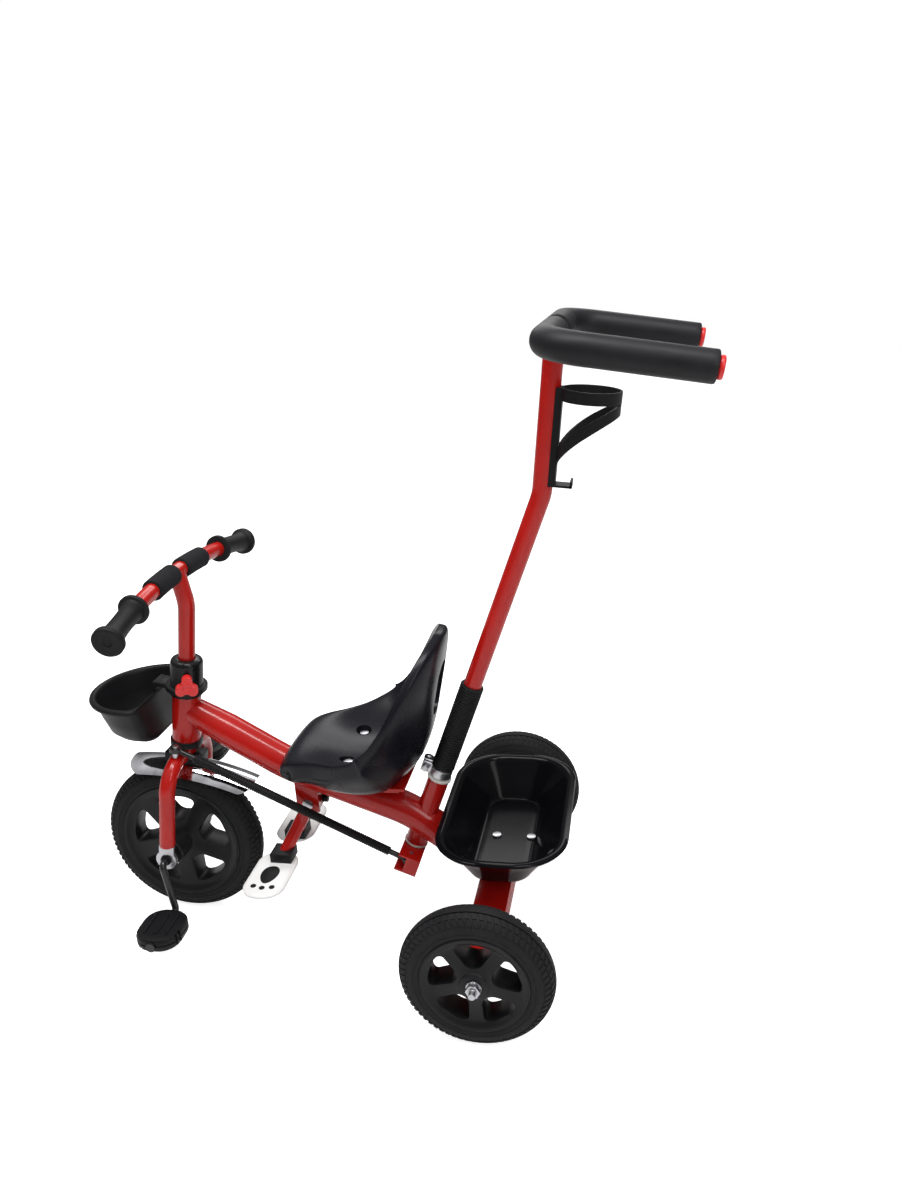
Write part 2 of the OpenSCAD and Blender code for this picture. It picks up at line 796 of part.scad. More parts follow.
module stem_collar() {
    top = collar_h - collar_round;
    color(black) steering() translate([0, 0, collar_low]) difference() {
        union() {
            cylinder(d = collar_foot_d, h = collar_foot_h);
            cylinder(d = collar_d, h = top);
            translate([0, 0, knob_w - collar_low]) rotate(knob_turn) along_y(0)
                cylinder(d = knob_boss_d, h = collar_foot_d / 2);
            translate([0, 0, top])
                cylinder(d1 = collar_d, d2 = collar_d - 2 * collar_round, h = collar_round);
        }
        translate([0, 0, -over]) cylinder(r = steerer_d / 2, h = collar_h - collar_top_t + over);
        cylinder(r = stem_d / 2 + gap, h = 2 * collar_h);
        translate([0, 0, knob_w - collar_low]) rotate(knob_turn) along_y(0)
            cylinder(r = knob_screw_d / 2 + fit, h = collar_d);
    }
}
bin_x = wheelbase - (bin_rim_z - front_r) * tan(rake) + bin_back;
module bin_plan(r, back) {
    translate([bin_straight, 0]) intersection() {
        circle(r = r);
        translate([0, -r]) square([r, 2 * r]);
    }
    side = r - bin_corner;
    translate([back + bin_corner, -r]) square([bin_straight - back - bin_corner, 2 * r]);
    translate([back, -side]) square([bin_straight - back, 2 * side]);
    for (y = [-side, side]) translate([back + bin_corner, y]) circle(r = bin_corner);
}
module bin_block(inset, low, high) {
    hull() {
        translate([0, 0, low]) linear_extrude(over) bin_plan(bin_low_r - inset, inset);
        translate([0, 0, bin_belly_h]) linear_extrude(over) bin_plan(bin_belly_r - inset, inset);
        translate([0, 0, high - over]) linear_extrude(over) bin_plan(bin_r - inset, inset);
    }
}
module bin_shell() {
    difference() {
        union() {
            bin_block(0, 0, bin_h);
            translate([0, 0, bin_h - bin_lip_t]) linear_extrude(bin_lip_t) bin_plan(bin_r + bin_lip, 0);
        }
        bin_block(bin_wall, bin_wall, bin_h + over);
    }
}
module front_basket() {
    ring_low = collar_low + collar_foot_h;
    color(black) difference() {
        union() {
            trike() translate([bin_x, 0, bin_rim_z - bin_h]) bin_shell();
            steering() translate([0, 0, ring_low]) cylinder(d = collar_foot_d, h = bin_ring_h);
            steering() translate([collar_d / 4, -bin_tab_w / 2, ring_low + over])
                cube([bin_back + bin_wall - collar_d / 4, bin_tab_w, bin_ring_h - 2 * over]);
            trike() translate([bin_x + bin_wall / 2, -bin_tab_w / 2 - over, bin_rim_z - bin_tongue])
                cube([2 * bin_wall, bin_tab_w + 2 * over, 2 * bin_tongue]);
        }
        steering() translate([0, 0, ring_low - over]) cylinder(d = collar_d, h = 2 * bin_ring_h);
    }
}
module rod_stud() {
    color(steel) steering() difference() {
        translate([0, front_arm, crown_w]) cylinder(d = stud_d, h = stud_top - crown_w);
        leg_solid();
    }
}

// Handlebar
module bar_arc(from, to, r) {
    on_bar(from) rotate_extrude(angle = to - from, $fn = 720) translate([bar_r, 0]) circle(r = r, $fn = 64);
}
module handlebar_stem() {
    path = [[0, stem_foot], [0, stem_bend_w], [bar_u, bar_w]];
    color(red) difference() {
        steering() side_plane() tube_path(path, [stem_bend], stem_d / 2, bar_wall);
        bar_arc(-bar_angle, bar_angle, bar_d / 2);
    }
}
module handlebar() {
    color(red) difference() {
        bar_arc(-bar_angle, bar_angle, bar_d / 2);
        bar_arc(-2 * bar_angle, 2 * bar_angle, bar_d / 2 - bar_wall);
    }
}
module bar_foam() {
    color(foam) for (side = [-1, 1]) {
        from = min(side * foam_in, side * foam_out);
        to = max(side * foam_in, side * foam_out);
        difference() {
            bar_arc(asin(from / bar_r), asin(to / bar_r), foam_d / 2);
            bar_arc(-bar_angle, bar_angle, bar_d / 2);
        }
    }
}
module grips() {
    color(black) for (side = [0, 1]) mirror([0, side, 0]) difference() {
        on_bar(asin((bar_half - grip_l / 2) / bar_r)) translate([bar_r, -grip_l / 2, 0]) rotate([-90, 0, 0]) {
            cylinder(d = grip_d, h = grip_l + grip_end_t);
            cylinder(d = grip_flange_d, h = grip_flange_t);
            translate([0, 0, grip_l - grip_flange_t])
                cylinder(d = grip_flange_d, h = grip_flange_t + grip_end_t);
        }
        bar_arc(-bar_angle, bar_angle, bar_d / 2);
    }
}
module clamp_knob() {
    seat_y = collar_foot_d / 2 + gap;
    color("red") steering() translate([0, 0, knob_w]) rotate(knob_turn) along_y(0) {
        translate([0, 0, stem_d / 2 + gap]) cylinder(d = knob_screw_d, h = seat_y);
        translate([0, 0, seat_y]) linear_extrude(knob_t) {
            circle(d = knob_d - knob_lobe_d);
            for (i = [0 : knob_lobes - 1]) rotate(360 * i / knob_lobes - 90)
                translate([(knob_d - knob_lobe_d) / 2, 0]) circle(d = knob_lobe_d);
        }
        translate([0, 0, seat_y + knob_t - over]) linear_extrude(over + knob_ring_t) difference() {
            circle(d = knob_ring_d);
            circle(d = knob_ring_d - 2 * knob_ring_w);
        }
    }
}

// Wheels, crank and pedals
module tyre_ring(r) {
    rotate([90, 0, 0]) rotate_extrude($fn = 96) difference() {
        translate([r - tyre_w / 2, 0]) circle(d = tyre_w);
        translate([-r, -tyre_w]) square([2 * r - tyre_depth, 2 * tyre_w]);
    }
}
function rim_width() = 2 * sqrt(pow(tyre_w / 2, 2) - pow(tyre_depth - tyre_w / 2, 2));
module wheel_rim(r, hub_w, bore_d) {
    rim_r = r - tyre_depth;
    rotate([90, 0, 0]) difference() {
        union() {
            translate([0, 0, -rim_width() / 2]) ring(rim_r, rim_r - rim_wall, rim_width());
            translate([0, 0, -hub_w / 2]) cylinder(r = hub_r, h = hub_w);
            for (i = [0 : spokes - 1]) rotate(360 * i / spokes - 90)
                translate([0, -spoke_w / 2, -spoke_t / 2])
                cube([rim_r - rim_wall / 2, spoke_w, spoke_t]);
        }
        cylinder(d = bore_d, h = 2 * hub_w, center = true);
    }
}
module rear_wheel(side) { trike() translate([0, side * track / 2, rear_r]) children(); }
module rear_left_rim() { color(black) rear_wheel(1) wheel_rim(rear_r, rear_hub_w, axle_d + 2 * fit); }
module rear_right_rim() { color(black) rear_wheel(-1) wheel_rim(rear_r, rear_hub_w, axle_d + 2 * fit); }
module rear_left_tyre() { color(foam) rear_wheel(1) tyre_ring(rear_r); }
module rear_right_tyre() { color(foam) rear_wheel(-1) tyre_ring(rear_r); }
module front_rim() {
    color(black) trike() translate([wheelbase, 0, front_r]) wheel_rim(front_r, 2 * front_hub_half, crank_d);
}
module front_tyre() { color(foam) trike() translate([wheelbase, 0, front_r]) tyre_ring(front_r); }
module crank_frame() { trike() translate([wheelbase, 0, front_r]) rotate([0, crank_back, 0]) children(); }
module crank() {
    tip = pedal_start + pedal_l + gap;
    end = tip + pedal_rivet;
    path = [[-end, crank_len], [-crank_out, crank_len], [-crank_axle, 0],
        [crank_axle, 0], [crank_out, -crank_len], [end, -crank_len]];
    color(black) crank_frame() {
        cross_plane() rod_path(path, [crank_bend, crank_bend, crank_bend, crank_bend], crank_d / 2);
        translate([0, 0, -crank_len]) along_y(tip) cylinder(d = pedal_rivet_d, h = pedal_rivet);
        translate([0, 0, crank_len]) along_y(-end) cylinder(d = pedal_rivet_d, h = pedal_rivet);
    }
}
module pedal(side) {
    crank_frame() rotate([0, 0, 180 * side]) mirror([0, 0, side]) translate([0, pedal_start, -crank_len])
        rotate([0, -crank_back, 0]) difference() {
            translate([0, pedal_l / 2, -pedal_t / 2]) linear_extrude(pedal_t)
                rounded_plate([pedal_w, pedal_l], pedal_round);
            along_y(-over) cylinder(r = crank_d / 2 + fit, h = pedal_l + 2 * over);
        }
}
module left_pedal() { color(black) pedal(0); }
module right_pedal() { color(black) pedal(1); }

// Push bar, its socket and the steering linkage
module push_socket() {
    color(red) push_axis() translate([0, 0, lever_low])
        ring(push_d / 2, push_d / 2 - socket_wall, socket_top - lever_low);
}
lever_near = rear_arm + eye_r + link_play + gap + lever_plate;
module steering_lever() {
    height = lever_top - lever_low;
    width = lever_near + lever_side;
    color(red) push_axis() translate([0, 0, lever_low]) difference() {
        translate([-lever_l / 2, -lever_side, 0]) cube([lever_l, width, height]);
        translate([lever_plate - lever_l / 2, lever_plate - lever_side, lever_plate])
            cube([lever_l, width - 2 * lever_plate, height - 2 * lever_plate]);
        translate([lever_open, rear_arm, lever_plate]) cube([lever_l, lever_near, height - 2 * lever_plate]);
        translate([0, 0, -over]) cylinder(d = push_d, h = height + 2 * over);
        translate([0, rear_arm, -over]) cylinder(d = pin_d, h = height + 2 * over);
    }
}
module lever_pin() {
    color(steel) push_axis() translate([0, rear_arm, lever_low])
        cylinder(d = pin_d, h = lever_top - lever_low);
}
function steering_to_trike(p) = [wheelbase + p[0] * cos(rake) - p[2] * sin(rake), p[1],
    front_r + p[0] * sin(rake) + p[2] * cos(rake)];
function push_to_trike(p) = [push_x + p[0] * cos(push_lean) - p[2] * sin(push_lean), p[1],
    push_z + p[0] * sin(push_lean) + p[2] * cos(push_lean)];
rod_front = steering_to_trike([0, front_arm, eye_w + eye_t / 2]);
rod_rear = push_to_trike([0, rear_arm, rear_eye_s]);
rod_step = rod_rear - rod_front;
rod_len = norm(rod_step);
module along_rod() {
    trike() translate(rod_front)
        rotate([0, acos(rod_step[2] / rod_len), atan2(rod_step[1], rod_step[0])]) children();
}
module steering_rod() {
    color(black) difference() {
        union() {
            steering() translate([0, front_arm, eye_w]) cylinder(r = eye_r, h = eye_t);
            push_axis() translate([0, rear_arm, rear_eye_s - eye_t / 2]) cylinder(r = eye_r, h = eye_t);
            along_rod() translate([0, 0, eye_r - rod_d / 4])
                cylinder(d = rod_d, h = rod_len - 2 * eye_r + rod_d / 2);
        }
        steering() translate([0, front_arm, crown_w]) cylinder(r = stud_d / 2 + fit, h = crown_w);
        push_axis() translate([0, rear_arm, 2 * lever_low])
            cylinder(r = pin_d / 2 + link_play, h = -2 * lever_low);
    }
}
module ribbed_profile(core_r, out_r, bore_r, length, count) {
    pitch = length / count;
    rotate_extrude() difference() {
        union() {
            square([core_r, length]);
            for (i = [0 : count - 1]) translate([0, i * pitch]) square([out_r, pitch / 2]);
        }
        translate([-out_r, -over]) square([out_r + bore_r, length + 2 * over]);
    }
}
module rod_cover() {
    length = rod_len - 2 * (eye_r + rod_bare);
    color(foam) along_rod() translate([0, 0, eye_r + rod_bare])
        ribbed_profile(cover_d / 2 - cover_rib, cover_d / 2, rod_d / 2, length, cover_ribs);
}
module push_clamp() {
    outer = push_d / 2 + clamp_t;
    color(steel) push_axis() translate([0, 0, clamp_low]) difference() {
        union() {
            cylinder(r = outer, h = clamp_h);
            translate([0, -clamp_split / 2 - clamp_ear_t, 0])
                cube([outer + clamp_ear, clamp_split + 2 * clamp_ear_t, clamp_h]);
        }
        translate([0, 0, -over]) cylinder(d = push_d, h = clamp_h + 2 * over);
        translate([0, -clamp_split / 2, -over])
            cube([2 * outer + clamp_ear, clamp_split, clamp_h + 2 * over]);
        clamp_bolt_axis() along_y(-clamp_ear) cylinder(d = clamp_bolt_d, h = 2 * clamp_ear);
    }
}
clamp_bolt_x = push_d / 2 + clamp_t + clamp_ear * clamp_bolt_share;
clamp_ear_y = clamp_split / 2 + clamp_ear_t;
qr_y = clamp_ear_y + gap + qr_r;
module clamp_bolt_axis() { translate([clamp_bolt_x, 0, clamp_h / 2]) children(); }
module clamp_bolt() {
    color(steel) push_axis() translate([0, 0, clamp_low]) clamp_bolt_axis() {
        along_y(-qr_y) cylinder(d = clamp_bolt_d, h = clamp_ear_y + qr_y);
        along_y(clamp_ear_y) cylinder(d = clamp_bolt_head, h = clamp_bolt_d);
        translate([0, -qr_y, -clamp_h / 2]) cylinder(d = clamp_bolt_d, h = clamp_h);
    }
}
module clamp_lever() {
    color(black) push_axis() translate([0, 0, clamp_low]) clamp_bolt_axis() translate([0, -qr_y, 0])
        rotate(qr_rest) difference() {
            translate([0, 0, -clamp_h / 2]) union() {
                cylinder(r = qr_r, h = clamp_h);
                translate([0, -qr_t / 2, 0]) cube([qr_l, qr_t, clamp_h]);
            }
            cylinder(r = clamp_bolt_d / 2 + fit, h = 2 * clamp_h, center = true);
            translate([-qr_r - over, -qr_r - over, -clamp_bolt_d / 2 - gap])
                cube([2 * qr_r + over + gap, 2 * (qr_r + over), clamp_bolt_d + 2 * gap]);
        }
}
push_foot = rib_low - gap;
push_path = [[0, push_foot], [0, push_low],
    [-push_up * sin(push_up_lean - push_lean), push_low + push_up * cos(push_up_lean - push_lean)]];
module push_bar() {
    color(red) difference() {
        union() {
            push_axis() side_plane() tube_path(push_path, [push_bend], push_d / 2, push_wall);
            push_axis() translate([0, 0, push_foot - spigot_len])
                ring(push_d / 2 - socket_wall - fit, push_d / 2 - 2 * socket_wall, spigot_len + spigot_weld);
            push_axis() translate([0, 0, push_foot])
                ring(push_d / 2 - push_wall / 2, push_d / 2 - 2 * socket_wall, spigot_weld);
        }
        handle_plane() rod_path(handle_path, [handle_bend, handle_bend], handle_d / 2);
    }
}
handle_path = [[handle_arm, -handle_half], [0, -handle_half], [0, handle_half], [handle_arm, handle_half]];
module handle_plane() {
    trike() translate([handle_x, 0, handle_z]) rotate([0, -handle_drop, 0]) mirror([1, 0, 0]) children();
}
module push_handle() {
    color(red) handle_plane() tube_path(handle_path, [handle_bend, handle_bend], handle_d / 2, push_wall);
}
foam_path = [[0, handle_gap], [0, handle_half], [handle_arm, handle_half]];
module handle_foam() {
    color(foam) handle_plane() both_sides() difference() {
        rod_path(foam_path, [handle_bend], handle_foam_d / 2);
        rod_path(longer(foam_path, over), [handle_bend], handle_d / 2);
    }
}
module handle_caps() {
    color("red") handle_plane() both_sides() translate([handle_arm, handle_half, 0]) rotate([0, 90, 0])
        cylinder(d = handle_cap_d, h = handle_cap_t);
}
module ribbed_sleeve() {
    color(foam) push_axis() translate([0, 0, rib_low])
        ribbed_profile(rib_core_d / 2, rib_d / 2, push_d / 2, rib_high - rib_low, ribs);
}
module bottle_cage() {
    back = push_d / 2;
    middle = back + cage_t + cage_r;
    hoop_low = cage_low + cage_plate_l - cage_band;
    color(black) push_upper() mirror([1, 0, 0]) difference() {
        union() {
            translate([0, -cage_plate_w / 2, cage_low]) cube([back + cage_t, cage_plate_w, cage_plate_l]);
            translate([middle, 0, hoop_low]) ring(cage_r + cage_t, cage_r, cage_band);
            intersection() {
                translate([middle, 0, cage_low]) ring(cage_r + cage_t, cage_r, cage_plate_l);
                translate([middle + cage_r + cage_t, 0, hoop_low + over]) rotate([0, -cage_slope, 0])
                    translate([-3 * cage_r, -2 * cage_r, 0]) cube([4 * cage_r, 4 * cage_r, cage_strap]);
            }
            translate([back, -cage_plate_w / 2, cage_low]) cube([cage_foot, cage_plate_w, cage_t]);
            translate([back + cage_foot - cage_t, -cage_plate_w / 2, cage_low])
                cube([cage_t, cage_plate_w, 3 * cage_t]);
        }
        translate([0, 0, -cage_plate_l]) cylinder(r = push_d / 2 + bend_swell, h = 3 * cage_plate_l);
    }
}

// Footrest
arm_path = [[arm_y, 0], [arm_y, -arm_knee], [arm_foot_y, -arm_foot]];
module footrest_frame() { trike() translate([foot_x, 0, foot_z]) children(); }
module arms_solid() {
    footrest_frame() rotate([0, -foot_tilt, 0]) both_sides() intersection() {
        cross_plane() rod_path(arm_path, [arm_bend], arm_d / 2);
        translate([-track, 0, -track]) cube([2 * track, track, 2 * track]);
    }
}
module footrest_arms() {
    color(red) difference() {
        union() {
            arms_solid();
            footrest_frame() along_y(gap - lug_y) cylinder(r = yoke_r, h = 2 * (lug_y - gap));
        }
        footrest_frame() along_y(-2 * lug_y) cylinder(r = foot_pin_d / 2 + fit, h = 4 * lug_y);
    }
}
module footplates() {
    color("whitesmoke") trike() both_sides() translate([plate_x, plate_in + plate_l / 2, plate_z - plate_t])
        linear_extrude(plate_t) rounded_plate([plate_w, plate_l], plate_round);
}
module footplate_clips() {
    foot = [arm_foot * sin(foot_tilt), arm_foot * cos(foot_tilt)];
    color(black) difference() {
        trike() both_sides() translate([foot_x + foot[0] - clip_w / 2, clip_in, plate_z])
            cube([clip_w, clip_l, clip_h]);
        arms_solid();
    }
}
module footrest_latch() {
    tip = yoke_r + latch_short;
    color(black) footrest_frame() translate([0, 0, latch_rise]) rotate([0, -90, 0]) {
        translate([0, 0, tip]) cylinder(d = latch_d, h = lug_l / 2 + gap + over - tip);
        translate([0, 0, lug_l / 2 + gap]) cylinder(d = latch_knob_d, h = latch_knob_l);
    }
}

main_tube();
head_tube();
rear_crossbar();
crossbar_plugs();
push_sleeve();
seat_bracket();
basket_bracket();
footrest_lug();
rear_axle();
axle_washers();
axle_nuts();
head_bushes();
push_bushes();
seat();
seat_bolts();
rear_basket();
basket_bolts();
footrest_pin();
steerer();
fork_left_leg();
fork_right_leg();
fork_dropouts();
axle_bushes();
mudguard();
mudguard_saddle();
stem_collar();
front_basket();
rod_stud();
handlebar_stem();
handlebar();
bar_foam();
grips();
clamp_knob();
front_rim();
front_tyre();
crank();
left_pedal();
right_pedal();
rear_left_rim();
rear_left_tyre();
rear_right_rim();
rear_right_tyre();
push_socket();
steering_lever();
lever_pin();
push_clamp();
clamp_bolt();
clamp_lever();
push_bar();
push_handle();
handle_foam();
handle_caps();
ribbed_sleeve();
bottle_cage();
steering_rod();
rod_cover();
footrest_arms();
footplates();
footplate_clips();
footrest_latch();
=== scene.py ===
# Toddler push along trike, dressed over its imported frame. Lengths are in metres, X forward, Y left, Z up.
import json
import math

import bpy
from mathutils import Matrix, Vector


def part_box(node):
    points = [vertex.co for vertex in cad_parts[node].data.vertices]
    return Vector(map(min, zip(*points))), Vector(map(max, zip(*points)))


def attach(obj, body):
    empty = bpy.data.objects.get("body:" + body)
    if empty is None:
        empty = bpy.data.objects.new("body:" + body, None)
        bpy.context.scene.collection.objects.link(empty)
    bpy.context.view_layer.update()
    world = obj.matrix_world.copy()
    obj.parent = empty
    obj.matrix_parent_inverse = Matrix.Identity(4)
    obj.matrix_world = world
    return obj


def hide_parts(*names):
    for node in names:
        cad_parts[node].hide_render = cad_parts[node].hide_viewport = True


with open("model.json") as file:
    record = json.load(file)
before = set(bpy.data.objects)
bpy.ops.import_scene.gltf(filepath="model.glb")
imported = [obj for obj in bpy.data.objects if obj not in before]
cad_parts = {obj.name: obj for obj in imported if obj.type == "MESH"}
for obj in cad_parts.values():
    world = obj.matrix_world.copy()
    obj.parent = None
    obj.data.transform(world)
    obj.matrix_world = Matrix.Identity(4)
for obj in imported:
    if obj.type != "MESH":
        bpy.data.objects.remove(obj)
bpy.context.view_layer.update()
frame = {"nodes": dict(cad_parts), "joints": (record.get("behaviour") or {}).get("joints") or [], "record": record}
nodes = frame["nodes"]
joints = {joint["name"]: joint for joint in frame["joints"]}


# Studio: a pale floor that runs out of sight, soft light from above and both sides,
# and a camera held at an adult's chest height behind the trike's left shoulder.
camera_place = Vector((-0.3670, 1.1792, 0.9487))
camera_yaw = math.radians(11.92)
camera_pitch = math.radians(19.75)
camera_roll = math.radians(-3.67)
camera_lens = 28.8

camera_data = bpy.data.cameras.new("camera")
camera_data.lens = camera_lens
camera_data.sensor_width = 36.0
camera_data.clip_start = 0.01
camera = bpy.data.objects.new("camera", camera_data)
bpy.context.scene.collection.objects.link(camera)
ahead = Vector((
    math.sin(camera_yaw) * math.cos(camera_pitch),
    -math.cos(camera_yaw) * math.cos(camera_pitch),
    -math.sin(camera_pitch),
))
across_view = ahead.cross(Vector((0, 0, 1))).normalized()
up_view = across_view.cross(ahead)
roll_x = math.cos(camera_roll) * across_view + math.sin(camera_roll) * up_view
roll_y = -math.sin(camera_roll) * across_view + math.cos(camera_roll) * up_view
turned_axes = Matrix((roll_x, roll_y, -ahead)).transposed()
camera.matrix_world = Matrix.Translation(camera_place) @ turned_axes.to_4x4()
bpy.context.scene.camera = camera

world = bpy.data.worlds.new("white_room")
world.use_nodes = True
room = world.node_tree
walls = room.nodes["Background"]
walls.inputs["Color"].default_value = (1.0, 1.0, 1.0, 1.0)
walls.inputs["Strength"].default_value = 1.0
fill = room.nodes.new("ShaderNodeBackground")
fill.inputs["Strength"].default_value = 0.86
toward = room.nodes.new("ShaderNodeTexCoord")
height = room.nodes.new("ShaderNodeSeparateXYZ")
room.links.new(toward.outputs["Generated"], height.inputs["Vector"])
sky = room.nodes.new("ShaderNodeValToRGB")
sky_stops = ((0.0, 0.10), (0.35, 0.22), (0.80, 0.75), (1.0, 0.85))
while len(sky.color_ramp.elements) < len(sky_stops):
    sky.color_ramp.elements.new(0.5)
for stop, (place, level) in zip(sky.color_ramp.elements, sky_stops):
    stop.position = place
    stop.color = (level, level, level, 1.0)
room.links.new(height.outputs["Z"], sky.inputs["Fac"])
room.links.new(sky.outputs["Color"], fill.inputs["Color"])
seen = room.nodes.new("ShaderNodeLightPath")
either = room.nodes.new("ShaderNodeMixShader")
room.links.new(seen.outputs["Is Camera Ray"], either.inputs["Fac"])
room.links.new(fill.outputs["Background"], either.inputs[1])
room.links.new(walls.outputs["Background"], either.inputs[2])
room.links.new(either.outputs["Shader"], room.nodes["World Output"].inputs["Surface"])
bpy.context.scene.world = world
bpy.context.scene.view_settings.view_transform = "Standard"


def soft_light(name, place, target, size, power):
    """A rectangular lamp that looks at its target."""
    light = bpy.data.lights.new(name, "AREA")
    light.shape = "RECTANGLE"
    light.size = size[0]
    light.size_y = size[1]
    light.energy = power
    lamp = bpy.data.objects.new(name, light)
    lamp.location = place
    lamp.rotation_euler = (Vector(target) - Vector(place)).to_track_quat("-Z", "Y").to_euler()
    bpy.context.scene.collection.objects.link(lamp)


soft_light("ceiling_strip", (0.1, 0.5, 2.5), (0.05, 0.05, 0.3), (2.2, 0.5), 46.0)
soft_light("side_strip", (-1.5, 1.5, 1.6), (0.0, 0.0, 0.3), (0.5, 1.4), 10.0)
soft_light("far_strip", (0.2, -2.0, 1.9), (0.0, 0.0, 0.3), (1.8, 0.6), 14.0)

bpy.ops.mesh.primitive_plane_add(size=14.0, location=(0.0, 0.0, -0.0005))
floor = bpy.context.object
floor.name = "floor"
floor_paint = bpy.data.materials.new("pale_floor")
floor_paint.use_nodes = True
floor_shader = floor_paint.node_tree.nodes["Principled BSDF"]
floor_shader.inputs["Base Color"].default_value = (0.93, 0.93, 0.93, 1.0)
floor_shader.inputs["Roughness"].default_value = 0.6
floor_shader.inputs["Emission Color"].default_value = (1.0, 1.0, 1.0, 1.0)
floor_seen = floor_paint.node_tree.nodes.new("ShaderNodeLightPath")
floor_glow = floor_paint.node_tree.nodes.new("ShaderNodeMath")
floor_glow.operation = "MULTIPLY"
floor_glow.inputs[1].default_value = 0.82
floor_paint.node_tree.links.new(floor_seen.outputs["Is Camera Ray"], floor_glow.inputs[0])
floor_paint.node_tree.links.new(floor_glow.outputs["Value"], floor_shader.inputs["Emission Strength"])
floor.data.materials.append(floor_paint)


# Frame tubes: bent and welded steel, powder coated a glossy red.
# The weld ends are hidden by the sleeves and brackets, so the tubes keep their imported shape.
def surface(name, color, roughness, metallic=0.0, coat=0.0, shine=0.5, mottle=0.12, grain=900.0,
            relief=0.03):
    """A moulded, painted or plated finish: colour and gloss wander a little over a fine relief."""
    paint = bpy.data.materials.new(name)
    paint.use_nodes = True
    tree = paint.node_tree
    shader = tree.nodes["Principled BSDF"]
    shader.inputs["Metallic"].default_value = metallic
    shader.inputs["Coat Weight"].default_value = coat
    shader.inputs["Specular IOR Level"].default_value = shine
    shader.inputs["Coat Roughness"].default_value = 0.08
    place = tree.nodes.new("ShaderNodeTexCoord")
    cloud = tree.nodes.new("ShaderNodeTexNoise")
    cloud.inputs["Scale"].default_value = 26.0
    cloud.inputs["Detail"].default_value = 5.0
    tree.links.new(place.outputs["Object"], cloud.inputs["Vector"])
    ramp = tree.nodes.new("ShaderNodeValToRGB")
    ramp.color_ramp.elements[0].position = 0.3
    ramp.color_ramp.elements[1].position = 0.7
    ramp.color_ramp.elements[0].color = (*[c * (1 - mottle) for c in color], 1.0)
    ramp.color_ramp.elements[1].color = (*[min(1.0, c * (1 + mottle)) for c in color], 1.0)
    tree.links.new(cloud.outputs["Fac"], ramp.inputs["Fac"])
    tree.links.new(ramp.outputs["Color"], shader.inputs["Base Color"])
    gloss = tree.nodes.new("ShaderNodeMapRange")
    gloss.inputs["To Min"].default_value = roughness * 0.85
    gloss.inputs["To Max"].default_value = min(1.0, roughness * 1.2)
    tree.links.new(cloud.outputs["Fac"], gloss.inputs["Value"])
    tree.links.new(gloss.outputs["Result"], shader.inputs["Roughness"])
    pits = tree.nodes.new("ShaderNodeTexNoise")
    pits.inputs["Scale"].default_value = grain
    pits.inputs["Detail"].default_value = 3.0
    tree.links.new(place.outputs["Object"], pits.inputs["Vector"])
    bump = tree.nodes.new("ShaderNodeBump")
    bump.inputs["Strength"].default_value = relief
    bump.inputs["Distance"].default_value = 0.0004
    tree.links.new(pits.outputs["Fac"], bump.inputs["Height"])
    tree.links.new(bump.outputs["Normal"], shader.inputs["Normal"])
    return paint


def dress(paint, *names):
    """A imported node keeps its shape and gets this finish."""
    for name in names:
        nodes[name].data.materials.clear()
        nodes[name].data.materials.append(paint)


red_enamel = surface("red_enamel", (0.44, 0.009, 0.006), 0.19, coat=0.15, shine=0.30, mottle=0.06,
                     grain=420.0, relief=0.05)
dress(red_enamel, "main_tube", "head_tube", "push_sleeve", "push_socket", "steerer", "fork_left_leg",
      "fork_right_leg", "handlebar_stem", "handlebar", "push_bar", "push_handle", "footrest_arms")


# Brackets, box tube and small turned parts: cut or moulded pieces with slightly eased edges.
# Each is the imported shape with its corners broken, as a file or a mould radius would leave them.
def only(piece):
    """This piece alone is selected and active."""
    bpy.ops.object.select_all(action="DESELECT")
    piece.select_set(True)
    bpy.context.view_layer.objects.active = piece


def apply_all(piece):
    """The piece's modifiers become part of its mesh."""
    only(piece)
    for modifier in list(piece.modifiers):
        bpy.ops.object.modifier_apply(modifier=modifier.name)


def finish_piece(piece, paint, body, slot_name, *replaced):
    """The finish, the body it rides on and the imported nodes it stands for."""
    piece.data.materials.clear()
    piece.data.materials.append(paint)
    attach(piece, body)
    if replaced:
        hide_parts(*replaced)


body_of_node = {}
for body_name, members in frame["record"]["behaviour"]["bodies"].items():
    for member in members:
        body_of_node[member] = body_name
slot_of_node = {part["node"]: part["material_slot"] for part in frame["record"]["subparts"]}


def eased(node, width, paint, segments=2):
    """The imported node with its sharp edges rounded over."""
    piece = nodes[node].copy()
    piece.data = nodes[node].data.copy()
    for key in list(piece.keys()):
        del piece[key]
    piece.parent = None
    piece.name = node + "_eased"
    bpy.context.scene.collection.objects.link(piece)
    only(piece)
    bpy.ops.object.mode_set(mode="EDIT")
    bpy.ops.mesh.select_all(action="SELECT")
    bpy.ops.mesh.remove_doubles(threshold=0.00002)
    bpy.ops.mesh.tris_convert_to_quads(face_threshold=math.radians(2), shape_threshold=math.radians(179))
    bpy.ops.mesh.dissolve_limited(angle_limit=math.radians(0.5))
    bpy.ops.object.mode_set(mode="OBJECT")
    bevel = piece.modifiers.new("edge", "BEVEL")
    bevel.width = width
    bevel.segments = segments
    bevel.limit_method = "ANGLE"
    bevel.angle_limit = math.radians(38)
    apply_all(piece)
    bpy.ops.object.shade_smooth_by_angle(angle=math.radians(32))
    finish_piece(piece, paint, body_of_node[node], slot_of_node[node], node)
    return piece


